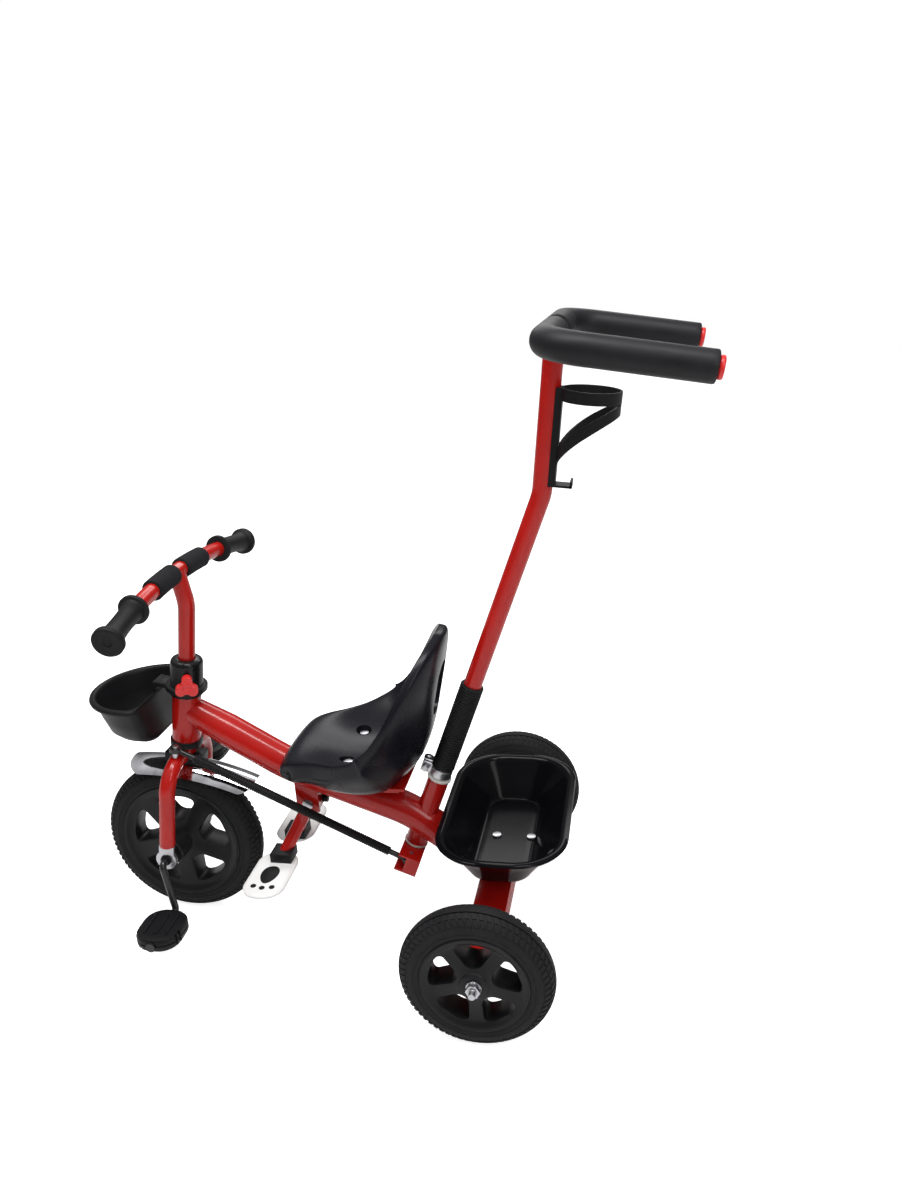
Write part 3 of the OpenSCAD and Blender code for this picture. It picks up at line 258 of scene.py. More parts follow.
satin_black = surface("satin_black", (0.009, 0.009, 0.010), 0.40, shine=0.16, mottle=0.15, grain=1500.0,
                      relief=0.10)
zinc_plate = surface("zinc_plate", (0.50, 0.50, 0.52), 0.33, metallic=1.0, mottle=0.10, grain=700.0,
                     relief=0.05)
for node in ("rear_crossbar", "seat_bracket", "basket_bracket", "footrest_lug", "steering_lever"):
    eased(node, 0.0012, red_enamel)
for node in ("crossbar_plugs", "head_bushes", "axle_bushes", "mudguard_saddle", "clamp_lever",
             "footrest_latch"):
    eased(node, 0.0008, satin_black)
for node in ("rear_axle", "axle_washers", "axle_nuts", "footrest_pin", "fork_dropouts", "rod_stud",
             "lever_pin", "push_clamp", "clamp_bolt", "seat_bolts", "basket_bolts"):
    eased(node, 0.0005, zinc_plate)
pale_plastic = surface("pale_plastic", (0.62, 0.60, 0.56), 0.45, mottle=0.06, grain=900.0, relief=0.04)
eased("push_bushes", 0.0008, pale_plastic)


# Wheels: a foam rubber tyre with a blocked tread, on a moulded rim with five flared spokes.
# The tyre is a ring of sections, and its tread blocks are inset and raised face by face.
def lofted(name, rings, closed=True, caps=True):
    """A skin through rings of points, with its seam welded and its ends filled."""
    columns = len(rings[0])
    around = columns + 1 if closed else columns
    bpy.ops.object.select_all(action="DESELECT")
    bpy.ops.mesh.primitive_grid_add(x_subdivisions=around - 1, y_subdivisions=len(rings) - 1, size=1.0)
    piece = bpy.context.object
    piece.name = name
    for row, ring in enumerate(rings):
        for column in range(around):
            piece.data.vertices[row * around + column].co = ring[column % columns]
    bpy.ops.object.mode_set(mode="EDIT")
    bpy.ops.mesh.select_all(action="SELECT")
    bpy.ops.mesh.remove_doubles(threshold=0.000002)
    if caps:
        bpy.ops.mesh.fill_holes(sides=0)
    bpy.ops.mesh.select_all(action="SELECT")
    bpy.ops.mesh.normals_make_consistent(inside=False)
    bpy.ops.object.mode_set(mode="OBJECT")
    return piece


def turned(name, profile, foot, axis, sides=64, caps=True):
    """A turned piece: rings of (radius, distance along the axis) about an axis that starts at foot."""
    axis = Vector(axis).normalized()
    side = axis.orthogonal().normalized()
    other = axis.cross(side)
    rings = []
    for radius, along in profile:
        ring = []
        for k in range(sides):
            turn = 2 * math.pi * k / sides
            outward = math.cos(turn) * side + math.sin(turn) * other
            ring.append(Vector(foot) + axis * along + radius * outward)
        rings.append(ring)
    return lofted(name, rings, caps=caps)


def smooth(piece, degrees=35):
    """Faces that meet more flatly than this are shaded as one surface."""
    only(piece)
    bpy.ops.object.shade_smooth_by_angle(angle=math.radians(degrees))


def middle(node):
    """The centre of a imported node's box."""
    low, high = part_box(node)
    return (low + high) / 2


tyre_half = 0.023
tyre_depth = 0.030
tread_height = 0.0013
tread_centre = 14
tread_edge = 62
tread_rows = ((17, 38), (40, tread_edge))
tread_gap_share = 0.34
tread_slant = 0.35
foam_rubber = surface("foam_rubber_tyre", (0.013, 0.013, 0.014), 0.62, shine=0.16, mottle=0.25,
                      grain=700.0, relief=0.22)
rim_black = surface("rim_black", (0.010, 0.010, 0.011), 0.36, shine=0.18, mottle=0.15, grain=1300.0,
                    relief=0.07)


def tyre(node, radius, blocks):
    """The tyre's skin: a round section cut off at the rim, with rows of raised, slanted blocks."""
    heart = middle(node)
    core = radius - tyre_half
    reach = tyre_half - tread_height
    lip = math.degrees(math.acos((tyre_half - tyre_depth) / tyre_half))
    right = [0, 7, 14, 15, 16.5, 17, 28, 38, 40, 51, 62, 66, 72, 80, 86, 88, 92, 94, 102, lip]
    dips = {15: 0.0012, 16.5: 0.0012, 88: 0.0007, 92: 0.0007}
    stops = [-s for s in reversed(right[1:])] + right
    rings = []
    for k in range(blocks * 2):
        turn = 2 * math.pi / blocks * (k // 2 + (1 - tread_gap_share if k % 2 else 0))
        ring = []
        for stop in stops:
            slant = turn + 2 * math.pi / blocks * tread_slant * min(abs(stop), tread_edge) / 20
            out = Vector((math.cos(slant), 0, math.sin(slant)))
            high = tyre_half if abs(stop) <= tread_centre else reach - dips.get(abs(stop), 0)
            sweep = math.radians(stop)
            across = Vector((0, high * math.sin(sweep), 0))
            ring.append(heart + out * (core + high * math.cos(sweep)) + across)
        rings.append(ring)
    rings.append(rings[0])
    piece = lofted(node + "_tread", rings, closed=False, caps=False)
    bpy.ops.object.mode_set(mode="EDIT")
    bpy.ops.mesh.select_mode(type="FACE")
    bpy.ops.mesh.select_all(action="DESELECT")
    bpy.ops.object.mode_set(mode="OBJECT")
    for polygon in piece.data.polygons:
        spot = polygon.center - heart
        sweep = math.degrees(abs(math.atan2(spot.y, math.hypot(spot.x, spot.z) - core)))
        turn = math.atan2(spot.z, spot.x)
        turn -= 2 * math.pi / blocks * tread_slant * min(sweep, tread_edge) / 20
        step = (turn / (2 * math.pi) * blocks) % 1.0
        in_row = any(low < sweep < high for low, high in tread_rows)
        polygon.select = step < 1 - tread_gap_share and in_row
    only(piece)
    bpy.ops.object.mode_set(mode="EDIT")
    bpy.ops.mesh.inset(thickness=0.0004, depth=tread_height)
    bpy.ops.object.mode_set(mode="OBJECT")
    smooth(piece, 28)
    return piece


def wheel_rim(node, radius, hub_half, bore, spoke_half, inner, outer):
    """The rim: a dished ring, a web cut by five rounded windows, and a hub tube."""
    heart = middle(node)
    out_r = radius - tyre_depth
    rim_half = math.sqrt(tyre_half ** 2 - (tyre_depth - tyre_half) ** 2)
    hub_r = 0.019
    web = 0.019
    profile = [(bore, -hub_half), (hub_r - 0.003, -hub_half), (hub_r - 0.001, -hub_half + 0.001),
               (hub_r, -hub_half + 0.003), (hub_r + 0.0005, -web - 0.001), (hub_r + 0.003, -web + 0.0005),
               (out_r - 0.016, -web + 0.0025), (out_r - 0.011, -web + 0.0015),
               (out_r - 0.007, -rim_half + 0.0018), (out_r - 0.004, -rim_half - 0.0004),
               (out_r - 0.001, -rim_half - 0.0004), (out_r, -rim_half + 0.0006)]
    profile += [(r, -y) for r, y in reversed(profile)]
    profile.append(profile[0])
    piece = turned(node + "_moulding", profile, heart, (0, 1, 0), sides=80, caps=False)
    for k in range(5):
        turn = 2 * math.pi * k / 5 - math.pi / 2 + math.pi / 5
        out = Vector((math.cos(turn), 0, math.sin(turn)))
        side = Vector((-math.sin(turn), 0, math.cos(turn)))
        half_angle = math.pi / 5
        corners = []
        for reach, share in ((inner, -1), (inner, 1), (outer, 1), (outer, -1)):
            flare = 1.0 if reach == inner else 1.15
            swing = half_angle - math.asin(spoke_half * flare / reach)
            corners.append((reach * math.cos(swing), share * reach * math.sin(swing)))
        crown = [(outer, corners[2][1] * 0.5), (outer, corners[3][1] * 0.5)]
        outline = corners[:3] + crown + corners[3:]
        rings = []
        for depth in (-0.06, 0.06):
            rings.append([heart + out * a + side * b + Vector((0, depth, 0)) for a, b in outline])
        cutter = lofted("window_cutter", rings)
        only(cutter)
        bpy.ops.object.mode_set(mode="EDIT")
        bpy.ops.mesh.select_mode(type="EDGE")
        bpy.ops.mesh.select_all(action="DESELECT")
        bpy.ops.object.mode_set(mode="OBJECT")
        for edge in cutter.data.edges:
            a, b = (cutter.data.vertices[i].co for i in edge.vertices)
            edge.select = abs(a.y - b.y) > 0.05
        bpy.ops.object.mode_set(mode="EDIT")
        bpy.ops.mesh.bevel(offset=0.0075, segments=6, affect="EDGES", clamp_overlap=True)
        bpy.ops.object.mode_set(mode="OBJECT")
        cut = piece.modifiers.new("window", "BOOLEAN")
        cut.object = cutter
        cut.operation = "DIFFERENCE"
        cut.solver = "EXACT"
        apply_all(piece)
        bpy.data.objects.remove(cutter)
    ease = piece.modifiers.new("edge", "BEVEL")
    ease.width = 0.0012
    ease.segments = 2
    ease.limit_method = "ANGLE"
    ease.angle_limit = math.radians(50)
    apply_all(piece)
    smooth(piece, 40)
    return piece


rear_radius = 0.100
front_radius = 0.125
for side in ("rear_left", "rear_right"):
    tread = tyre(side + "_tyre", rear_radius, blocks=66)
    finish_piece(tread, foam_rubber, side + "_wheel", "tyre", side + "_tyre")
    rim = wheel_rim(side + "_rim", rear_radius, hub_half=0.023, bore=0.00505,
                    spoke_half=0.0080, inner=0.025, outer=0.0585)
    finish_piece(rim, rim_black, side + "_wheel", "black_plastic", side + "_rim")
front_hub_low, front_hub_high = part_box("front_rim")
tread = tyre("front_tyre", front_radius, blocks=82)
finish_piece(tread, foam_rubber, "front_wheel", "tyre", "front_tyre")
rim = wheel_rim("front_rim", front_radius, hub_half=(front_hub_high.y - front_hub_low.y) / 2, bore=0.005,
                spoke_half=0.0125, inner=0.036, outer=0.0765)
finish_piece(rim, rim_black, "front_wheel", "black_plastic", "front_rim")


# Crank and pedals: one bent black rod through the front hub, with a pedal block on each end.
# The pedals are moulded blocks with rounded ends, a parting line, ridges on both faces and notched sides.
black_enamel = surface("black_enamel", (0.012, 0.012, 0.013), 0.28, coat=0.3, shine=0.3, mottle=0.1,
                       grain=500.0, relief=0.05)
dress(black_enamel, "crank", "steering_rod")


def plan_outline(half_x, half_y, corner, steps=8):
    """Points round a rounded rectangle, in order."""
    points = []
    for quarter, (sx, sy) in enumerate(((1, 1), (-1, 1), (-1, -1), (1, -1))):
        for s in range(steps + 1):
            turn = math.pi / 2 * (quarter + s / steps)
            points.append((sx * (half_x - corner) + corner * math.cos(turn),
                           sy * (half_y - corner) + corner * math.sin(turn)))
    return points


pedal_ridge = 0.0016
for side, outward in (("left", 1), ("right", -1)):
    low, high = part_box(side + "_pedal")
    heart = (low + high) / 2
    half = (high - low) / 2
    thick = half.z - pedal_ridge
    rings = []
    for rise, inset in ((-1.0, 0.010), (-0.97, 0.005), (-0.86, 0.0016), (-0.6, 0.0), (-0.12, 0.0),
                        (-0.07, 0.0012), (0.07, 0.0012), (0.12, 0.0), (0.6, 0.0), (0.86, 0.0016),
                        (0.97, 0.005), (1.0, 0.010)):
        outline = plan_outline(half.x - inset, half.y - inset, 0.027 - inset / 2)
        rings.append([heart + Vector((x, y, rise * thick)) for x, y in outline])
    pedal = lofted(side + "_pedal_block", rings)
    for y in (0.30, 0.52):
        for x in (-1, 1):
            bpy.ops.object.select_all(action="DESELECT")
            place = heart + Vector((x * half.x, outward * y * half.y, 0))
            bpy.ops.mesh.primitive_cube_add(size=1.0, location=place)
            cutter = bpy.context.object
            cutter.scale = (0.008, 0.0042, 0.06)
            cut = pedal.modifiers.new("notch", "BOOLEAN")
            cut.object = cutter
            cut.solver = "EXACT"
            apply_all(pedal)
            bpy.data.objects.remove(cutter)
    pieces = [pedal]
    for face in (-1, 1):
        for x, wide in ((-0.017, 0.0018), (0.0, 0.0034), (0.017, 0.0018)):
            rings = []
            for lift, share in ((-0.002, 1.0), (pedal_ridge * 0.6, 1.0), (pedal_ridge, 0.55)):
                outline = plan_outline(wide * share, half.y - 0.014, wide * share * 0.9)
                rings.append([heart + Vector((x + a, b, face * (thick + lift))) for a, b in outline])
            pieces.append(lofted("pedal_ridge", rings))
    only(pedal)
    for part in pieces[1:]:
        part.select_set(True)
    bpy.ops.object.join()
    smooth(pedal, 35)
    finish_piece(pedal, satin_black, side + "_pedal", "black_plastic", side + "_pedal")


# Mudguard: pressed and chromed sheet, standing over the tyre on a black moulded saddle.
# The sheet is a strip of round sections along a shallow bow, with rounded corners at both ends.
# The chrome's colour is strongly mottled. Its dark and bright blotches are painted reflection, standing in for the
# bands of the room mirrored in the sheet.
chrome_painted_reflection = surface("chrome_plate_painted_reflection", (0.66, 0.66, 0.69), 0.06, metallic=1.0, mottle=0.42, grain=55.0,
                 relief=0.6)
guard_top = 0.136
guard_arc = 0.400
guard_heart = -0.012
guard_ends = (-0.112, 0.084)
guard_section = 0.037
guard_half = 0.031
guard_sheet = 0.0014
guard_round = 0.018
guard_rows = 44
guard_columns = 18
steer_axis = Vector(joints["steer"]["axis"])
steer_foot = Vector(joints["steer"]["pos_m"])
steer_ahead = Vector((0, 1, 0)).cross(steer_axis).normalized()
rings = []
for row in range(guard_rows + 1):
    u = guard_ends[0] + (guard_ends[1] - guard_ends[0]) * 0.5 * (1 - math.cos(math.pi * row / guard_rows))
    from_end = min(u - guard_ends[0], guard_ends[1] - u)
    shy = max(0.0, guard_round - from_end)
    half = guard_half - guard_round + math.sqrt(max(guard_round ** 2 - shy ** 2, 0.0))
    swing = math.asin((u - guard_heart) / guard_arc)
    outward = math.sin(swing) * steer_ahead + math.cos(swing) * steer_axis
    hub = steer_foot + guard_heart * steer_ahead + (guard_top - guard_arc) * steer_axis
    ring = []
    for reach, columns in ((guard_section, range(guard_columns + 1)),
                           (guard_section - guard_sheet, range(guard_columns, -1, -1))):
        spread = math.asin(half / guard_section)
        for column in columns:
            sweep = spread * (2 * column / guard_columns - 1)
            high = guard_arc - guard_section + reach * math.cos(sweep)
            ring.append(hub + outward * high + Vector((0, reach * math.sin(sweep), 0)))
    rings.append(ring)
guard = lofted("mudguard_sheet", rings)
smooth(guard, 50)
finish_piece(guard, chrome_painted_reflection, "steering", slot_of_node["mudguard"], "mudguard")


# Head collar: a gloss black moulded cup round the steerer, closed on the stem by a red lobed knob.
# The cup, with its flange, and the boss that takes the knob's screw are turned shapes.
gloss_black = surface("gloss_black", (0.008, 0.008, 0.009), 0.22, shine=0.28, mottle=0.1, grain=600.0,
                      relief=0.05)
red_plastic = surface("red_plastic", (0.72, 0.02, 0.018), 0.34, mottle=0.05, grain=800.0, relief=0.05)
collar_foot = steer_foot + 0.2518 * steer_axis
collar_shape = [(0.0143, 0.0), (0.0262, 0.0), (0.0270, 0.0006), (0.0270, 0.0018), (0.0264, 0.0022),
                (0.0240, 0.0024), (0.0235, 0.0032), (0.0235, 0.044), (0.0232, 0.0462), (0.0224, 0.0484),
                (0.0210, 0.0502), (0.0190, 0.0514), (0.0160, 0.0519), (0.0130, 0.0520), (0.0123, 0.0514),
                (0.0123, 0.048), (0.0143, 0.048), (0.0143, 0.0)]
collar = turned("stem_collar_cup", collar_shape, collar_foot, steer_axis, 72, caps=False)
knob_axis = Vector(joints["clamp_knob_turn"]["axis"])
knob_heart = Vector(joints["clamp_knob_turn"]["pos_m"])
boss_shape = [(0.0031, 0.0200), (0.0070, 0.0200), (0.0070, 0.0262), (0.0064, 0.0269), (0.0031, 0.0269)]
boss = turned("stem_collar_boss", boss_shape, knob_heart, knob_axis, 40, caps=False)
only(collar)
boss.select_set(True)
bpy.ops.object.join()
smooth(collar, 40)
finish_piece(collar, gloss_black, "steering", "black_plastic", "stem_collar")
eased("clamp_knob", 0.0014, red_plastic, segments=3)
eased("handle_caps", 0.0022, red_plastic, segments=4)


# Foam on the handlebar: two closed-cell sleeves pushed on either side of the stem, ends cut square.
# Grips: black rubber, flanged at both ends with a thin waist, their outer ends closed.
cell_foam = surface("cell_foam", (0.016, 0.016, 0.018), 0.85, shine=0.12, mottle=0.25, grain=1800.0,
                    relief=0.35)
grip_rubber = surface("grip_rubber", (0.011, 0.011, 0.012), 0.5, shine=0.16, mottle=0.2, grain=1200.0,
                      relief=0.12)
bar_radius = 0.011
bar_half = 0.214
bar_rise = 0.022
bar_arc = (bar_half ** 2 + bar_rise ** 2) / (2 * bar_rise)
bar_tilt = math.radians(52.5)
bar_middle = steer_foot + 0.015 * steer_ahead + 0.434 * steer_axis
bar_up = math.cos(bar_tilt) * steer_ahead + math.sin(bar_tilt) * steer_axis


def on_bar(along):
    """A point of the bar's middle line and its direction there, this far along it to the left."""
    swing = along / bar_arc
    left = Vector((0, 1, 0))
    point = bar_middle + bar_arc * math.sin(swing) * left - bar_arc * (1 - math.cos(swing)) * bar_up
    return point, math.cos(swing) * left - math.sin(swing) * bar_up


def swept(name, path, sides=40, caps=True):
    """A round skin along a path of (point, direction, radius)."""
    rings = []
    side = path[0][1].orthogonal().normalized()
    for point, ahead_here, radius in path:
        side = (side - ahead_here * side.dot(ahead_here)).normalized()
        other = ahead_here.cross(side)
        ring = []
        for k in range(sides):
            turn = 2 * math.pi * k / sides
            ring.append(point + radius * (math.cos(turn) * side + math.sin(turn) * other))
        rings.append(ring)
    return lofted(name, rings, caps=caps)


def sleeve_path(trace, start, end, outer, inner, ease, steps):
    """A sleeve's skin: in at one end, out over the outside and back in at the other."""
    stops = [(start, inner), (start, outer - ease), (start + ease * 0.3, outer - ease * 0.3),
             (start + ease, outer)]
    for k in range(1, steps):
        stops.append((start + ease + (end - start - 2 * ease) * k / steps, outer))
    stops += [(end - ease, outer), (end - ease * 0.3, outer - ease * 0.3), (end, outer - ease),
              (end, inner)]
    path = []
    for along, radius in stops:
        point, heading = trace(along)
        path.append((point, heading, radius))
    return path


foam_radius = 0.015
parts = []
for start, end in ((0.013, 0.076), (-0.076, -0.013)):
    path = sleeve_path(on_bar, start, end, foam_radius, bar_radius, 0.0022, 10)
    parts.append(swept("bar_foam_sleeve", path, 48, False))
only(parts[0])
parts[1].select_set(True)
bpy.ops.object.join()
smooth(parts[0], 40)
finish_piece(parts[0], cell_foam, "handlebar", "foam", "bar_foam")

grip_start = 0.130
grip_shape = [(0.000, 0.0111), (0.000, 0.0190), (0.0010, 0.0203), (0.0045, 0.0205), (0.0058, 0.0196),
              (0.0068, 0.0165), (0.0095, 0.0148), (0.018, 0.0140), (0.036, 0.0133), (0.050, 0.0134),
              (0.066, 0.0141), (0.073, 0.0150), (0.0765, 0.0170), (0.0780, 0.0198), (0.0792, 0.0205),
              (0.0845, 0.0205), (0.0860, 0.0196), (0.0868, 0.0170), (0.0862, 0.0150), (0.0866, 0.0060),
              (0.0850, 0.0045), (0.0850, 0.0)]
parts = []
for side in (1, -1):
    path = []
    for along, radius in grip_shape:
        point, heading = on_bar(side * (grip_start + along))
        path.append((point, heading * side, radius))
    parts.append(swept("grip", path, 48, False))
only(parts[0])
parts[1].select_set(True)
bpy.ops.object.join()
smooth(parts[0], 38)
finish_piece(parts[0], grip_rubber, "handlebar", "black_rubber", "grips")


# Front basket: a D shaped black bin with drawn walls and a rolled rim, held by a ring round the collar.
# Its wall is a stack of D outlines: up the outside, over the rim and down the inside.
bin_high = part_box("front_basket")[1]
bin_rim = 0.377
bin_floor = bin_rim - 0.070
bin_back = bin_high.x - 0.018 - 0.087
bin_middle = bin_back + 0.018


def bin_ring(radius, back, height, soft):
    """A D outline: a half circle in front, straight sides and a flat back with soft corners."""
    points = []
    for s in range(37):
        turn = -math.pi / 2 + math.pi * s / 36
        points.append(Vector((bin_middle + radius * math.cos(turn), radius * math.sin(turn), height)))
    for s in range(9):
        turn = math.pi / 2 * s / 8
        points.append(Vector((back + soft - soft * math.sin(turn), radius - soft + soft * math.cos(turn),
                              height)))
    for s in range(1, 6):
        points.append(Vector((back, (radius - soft) * (1 - 2 * s / 6), height)))
    for s in range(9):
        turn = math.pi / 2 * s / 8
        points.append(Vector((back + soft - soft * math.cos(turn), -radius + soft - soft * math.sin(turn),
                              height)))
    return points


bin_wall = 0.0025
bin_stack = [(0.000, 0.0, bin_floor), (0.036, 0.004, bin_floor), (0.0455, 0.002, bin_floor + 0.0025),
             (0.0560, 0.001, bin_floor + 0.0085), (0.0655, 0.0, bin_floor + 0.0180),
             (0.0730, 0.0, bin_floor + 0.040), (0.0785, 0.0, bin_rim - 0.010),
             (0.0800, 0.0, bin_rim - 0.0075), (0.0835, 0.0, bin_rim - 0.0078),
             (0.0860, 0.0, bin_rim - 0.0068), (0.0870, 0.0, bin_rim - 0.0040),
             (0.0860, 0.0006, bin_rim - 0.0014), (0.0835, 0.0014, bin_rim), (0.0800, 0.0024, bin_rim),
             (0.0778, 0.0036, bin_rim - 0.0016), (0.0766, bin_wall, bin_rim - 0.006),
             (0.0705, bin_wall, bin_floor + 0.040), (0.0630, bin_wall, bin_floor + 0.0190),
             (0.0540, 0.004, bin_floor + 0.0105), (0.0440, 0.006, bin_floor + 0.0052),
             (0.0345, 0.010, bin_floor + bin_wall), (0.000, 0.0, bin_floor + bin_wall)]
rings = []
for radius, inset, height in bin_stack:
    if radius == 0:
        rings.append([Vector((bin_middle + 0.01, 0, height))] * 60)
    else:
        rings.append(bin_ring(radius, bin_back + inset, height, min(0.014, radius / 3)))
basket = lofted("front_basket_bin", rings, caps=False)
smooth(basket, 50)
ring_foot = steer_foot + 0.254 * steer_axis
band_shape = [(0.0237, 0.0), (0.0285, 0.0), (0.0300, 0.0012), (0.0300, 0.0078), (0.0285, 0.009),
              (0.0237, 0.009), (0.0237, 0.0)]
band = turned("front_basket_band", band_shape, ring_foot, steer_axis, caps=False)
bpy.ops.object.select_all(action="DESELECT")
bpy.ops.mesh.primitive_cube_add(size=1.0)
tongue = bpy.context.object
tongue_size = (0.024, 0.028, 0.007)
tongue_place = steer_foot + 0.034 * steer_ahead + 0.2585 * steer_axis
for vertex in tongue.data.vertices:
    local = vertex.co.copy()
    forward = steer_ahead * local.x * tongue_size[0]
    across = Vector((0, local.y * tongue_size[1], 0))
    upward = steer_axis * local.z * tongue_size[2]
    vertex.co = tongue_place + forward + across + upward
ease = tongue.modifiers.new("edge", "BEVEL")
ease.width = 0.0015
ease.segments = 2
apply_all(tongue)
bpy.ops.object.select_all(action="DESELECT")
bpy.ops.mesh.primitive_cube_add(size=1.0)
lug = bpy.context.object
for vertex in lug.data.vertices:
    local = vertex.co.copy()
    vertex.co = Vector((bin_back + 0.0035 + local.x * 0.005, local.y * 0.030,
                        bin_rim + 0.001 + local.z * 0.026))
ease = lug.modifiers.new("edge", "BEVEL")
ease.width = 0.0015
ease.segments = 2
apply_all(lug)
only(basket)
for part in (band, tongue, lug):
    part.select_set(True)
bpy.ops.object.join()
smooth(basket, 45)
finish_piece(basket, satin_black, "steering", "black_plastic", "front_basket")


# Seat: one blow-moulded black shell with a rolled front lip, high side wings and a slot in its back.
# Each station, from front to top, holds shares of length, height, width, wing, thickness and skirt.
seat_front = middle("rear_axle").x + 0.288
seat_base = 0.252
seat_length = 0.222
seat_height = 0.226
seat_half = 0.119
seat_wing = 0.060
seat_thick = 0.036
seat_skirt = 0.016
seat_cap = 0.0035
seat_shares = [(0.016, 0.040, 0.44, 0.00, 0.60, 0.2), (0.000, 0.105, 0.55, 0.00, 0.85, 0.4),
               (0.020, 0.152, 0.61, 0.02, 0.95, 0.7), (0.080, 0.160, 0.67, 0.12, 1.00, 0.9),
               (0.200, 0.135, 0.73, 0.34, 1.00, 1.0), (0.340, 0.100, 0.86, 0.58, 1.00, 1.0),
               (0.480, 0.087, 0.95, 0.80, 1.00, 1.0), (0.600, 0.095, 0.99, 0.96, 1.00, 0.8),
               (0.695, 0.135, 1.00, 1.00, 0.95, 0.2), (0.787, 0.220, 0.99, 1.00, 0.85, 0.0),
               (0.853, 0.370, 0.97, 0.82, 0.72, 0.0), (0.899, 0.540, 0.92, 0.62, 0.62, 0.0),
               (0.940, 0.710, 0.80, 0.44, 0.58, 0.0), (0.968, 0.840, 0.62, 0.28, 0.56, 0.0),
               (0.987, 0.925, 0.42, 0.14, 0.52, 0.0), (1.000, 0.975, 0.20, 0.05, 0.42, 0.0)]


def between(values, place):
    """A smooth curve through evenly spaced values."""
    last = len(values) - 1
    k = min(int(place), last - 1)
    t = place - k
    a = values[max(k - 1, 0)]
    b = values[k]
    c = values[k + 1]
    d = values[min(k + 2, last)]
    return b + 0.5 * t * (c - a + t * (2 * a - 5 * b + 4 * c - d + t * (3 * (b - c) + d - a)))


def seat_station(place):
    """All six shares at a place between two stations."""
    return [between([share[i] for share in seat_shares], place) for i in range(6)]


def seat_line(place):
    """A point of the seat's middle line."""
    back, rise, *rest = seat_station(place)
    return Vector((seat_front - back * seat_length, 0,
                   seat_base + seat_thick / 2 + (rise - 0.087) * seat_height))


seat_stations = 72
seat_columns = 88
rings = []
for row in range(seat_stations + 1):
    place = (len(seat_shares) - 1) * row / seat_stations
    back, rise, wide, wing, thick, skirt = seat_station(place)
    further = seat_line(min(place + 0.7, len(seat_shares) - 1))
    nearer = seat_line(max(place - 0.7, 0))
    slope = (further - nearer).normalized()
    inward = Vector((slope.z, 0, -slope.x))
    ring = []
    for k in range(seat_columns):
        turn = 2 * math.pi * k / seat_columns
        lift = seat_wing * wing * abs(math.cos(turn)) ** 2.6
        depth = seat_thick / 2 * thick + (seat_skirt * skirt if math.sin(turn) < 0 else 0.0)
        edge = math.copysign(abs(math.sin(turn)) ** 0.42, math.sin(turn)) * depth
        point = seat_line(place) + inward * (lift + edge)
        point.y = seat_half * wide * math.cos(turn)
        ring.append(point)
    rings.append(ring)
for end, along in ((0, -1), (-1, 1)):
    edge_ring = rings[end]
    heart = sum(edge_ring, Vector()) / seat_columns
    slope = (seat_line(len(seat_shares) - 1) - seat_line(len(seat_shares) - 1.7)).normalized()
    if along < 0:
        slope = (seat_line(0.0) - seat_line(0.7)).normalized()
    for turn in (25, 48, 68, 84):
        share = math.cos(math.radians(turn))
        push = slope * seat_cap * math.sin(math.radians(turn))
        fresh = [heart + (point - heart) * share + push for point in edge_ring]
        rings = [fresh] + rings if along < 0 else rings + [fresh]
seat = lofted("seat_shell", rings)
seat_paint = surface("seat_black", (0.008, 0.008, 0.011), 0.26, shine=0.17, mottle=0.12, grain=1100.0,
                     relief=0.06)
slot_low = seat_base + 0.096
slot_high = seat_base + 0.176
slot_middle = Vector((seat_line(11.2).x, 0, (slot_low + slot_high) / 2))
outline = plan_outline((slot_high - slot_low) / 2, 0.023, 0.022)
rings = []
for reach in (-0.08, 0.08):
    rings.append([slot_middle + Vector((reach, y, z)) for z, y in outline])
cutter = lofted("slot_cutter", rings)
cut = seat.modifiers.new("slot", "BOOLEAN")
cut.object = cutter
cut.solver = "EXACT"
apply_all(seat)
bpy.data.objects.remove(cutter)
bolt_y = 0.043
pocket_shape = [(0.009, 0.0), (0.0095, 0.002), (0.0115, 0.007), (0.016, 0.03)]
for bolt_x in (0.203, 0.143):
    for y in (-bolt_y, bolt_y):
        foot = Vector((middle("rear_axle").x + bolt_x, y, seat_base + 0.034))
        cutter = turned("pocket_cutter", pocket_shape, foot, (0, 0, 1), 32)
        cut = seat.modifiers.new("pocket", "BOOLEAN")
        cut.object = cutter
        cut.solver = "EXACT"
        apply_all(seat)
        bpy.data.objects.remove(cutter)
smooth(seat, 50)
finish_piece(seat, seat_paint, "frame", "black_plastic", "seat")


# Rear basket: a deep gloss black tub with flared walls and a rolled rim, bolted to the crossbar.
# Its wall goes up the outside, over the rim and down the inside to an embossed floor.
tub_low, tub_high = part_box("rear_basket")
tub_middle = (tub_low + tub_high) / 2
tub_half = (tub_high - tub_low) / 2
tub_wall = 0.003
tub_lip = 0.010


def tub_ring(half_x, half_y, corner, height, shift=0.0):
    """A rounded rectangle of the tub's wall."""
    points = plan_outline(half_x, half_y, corner, 12)
    return [Vector((tub_middle.x + shift + x, y, height)) for x, y in points]


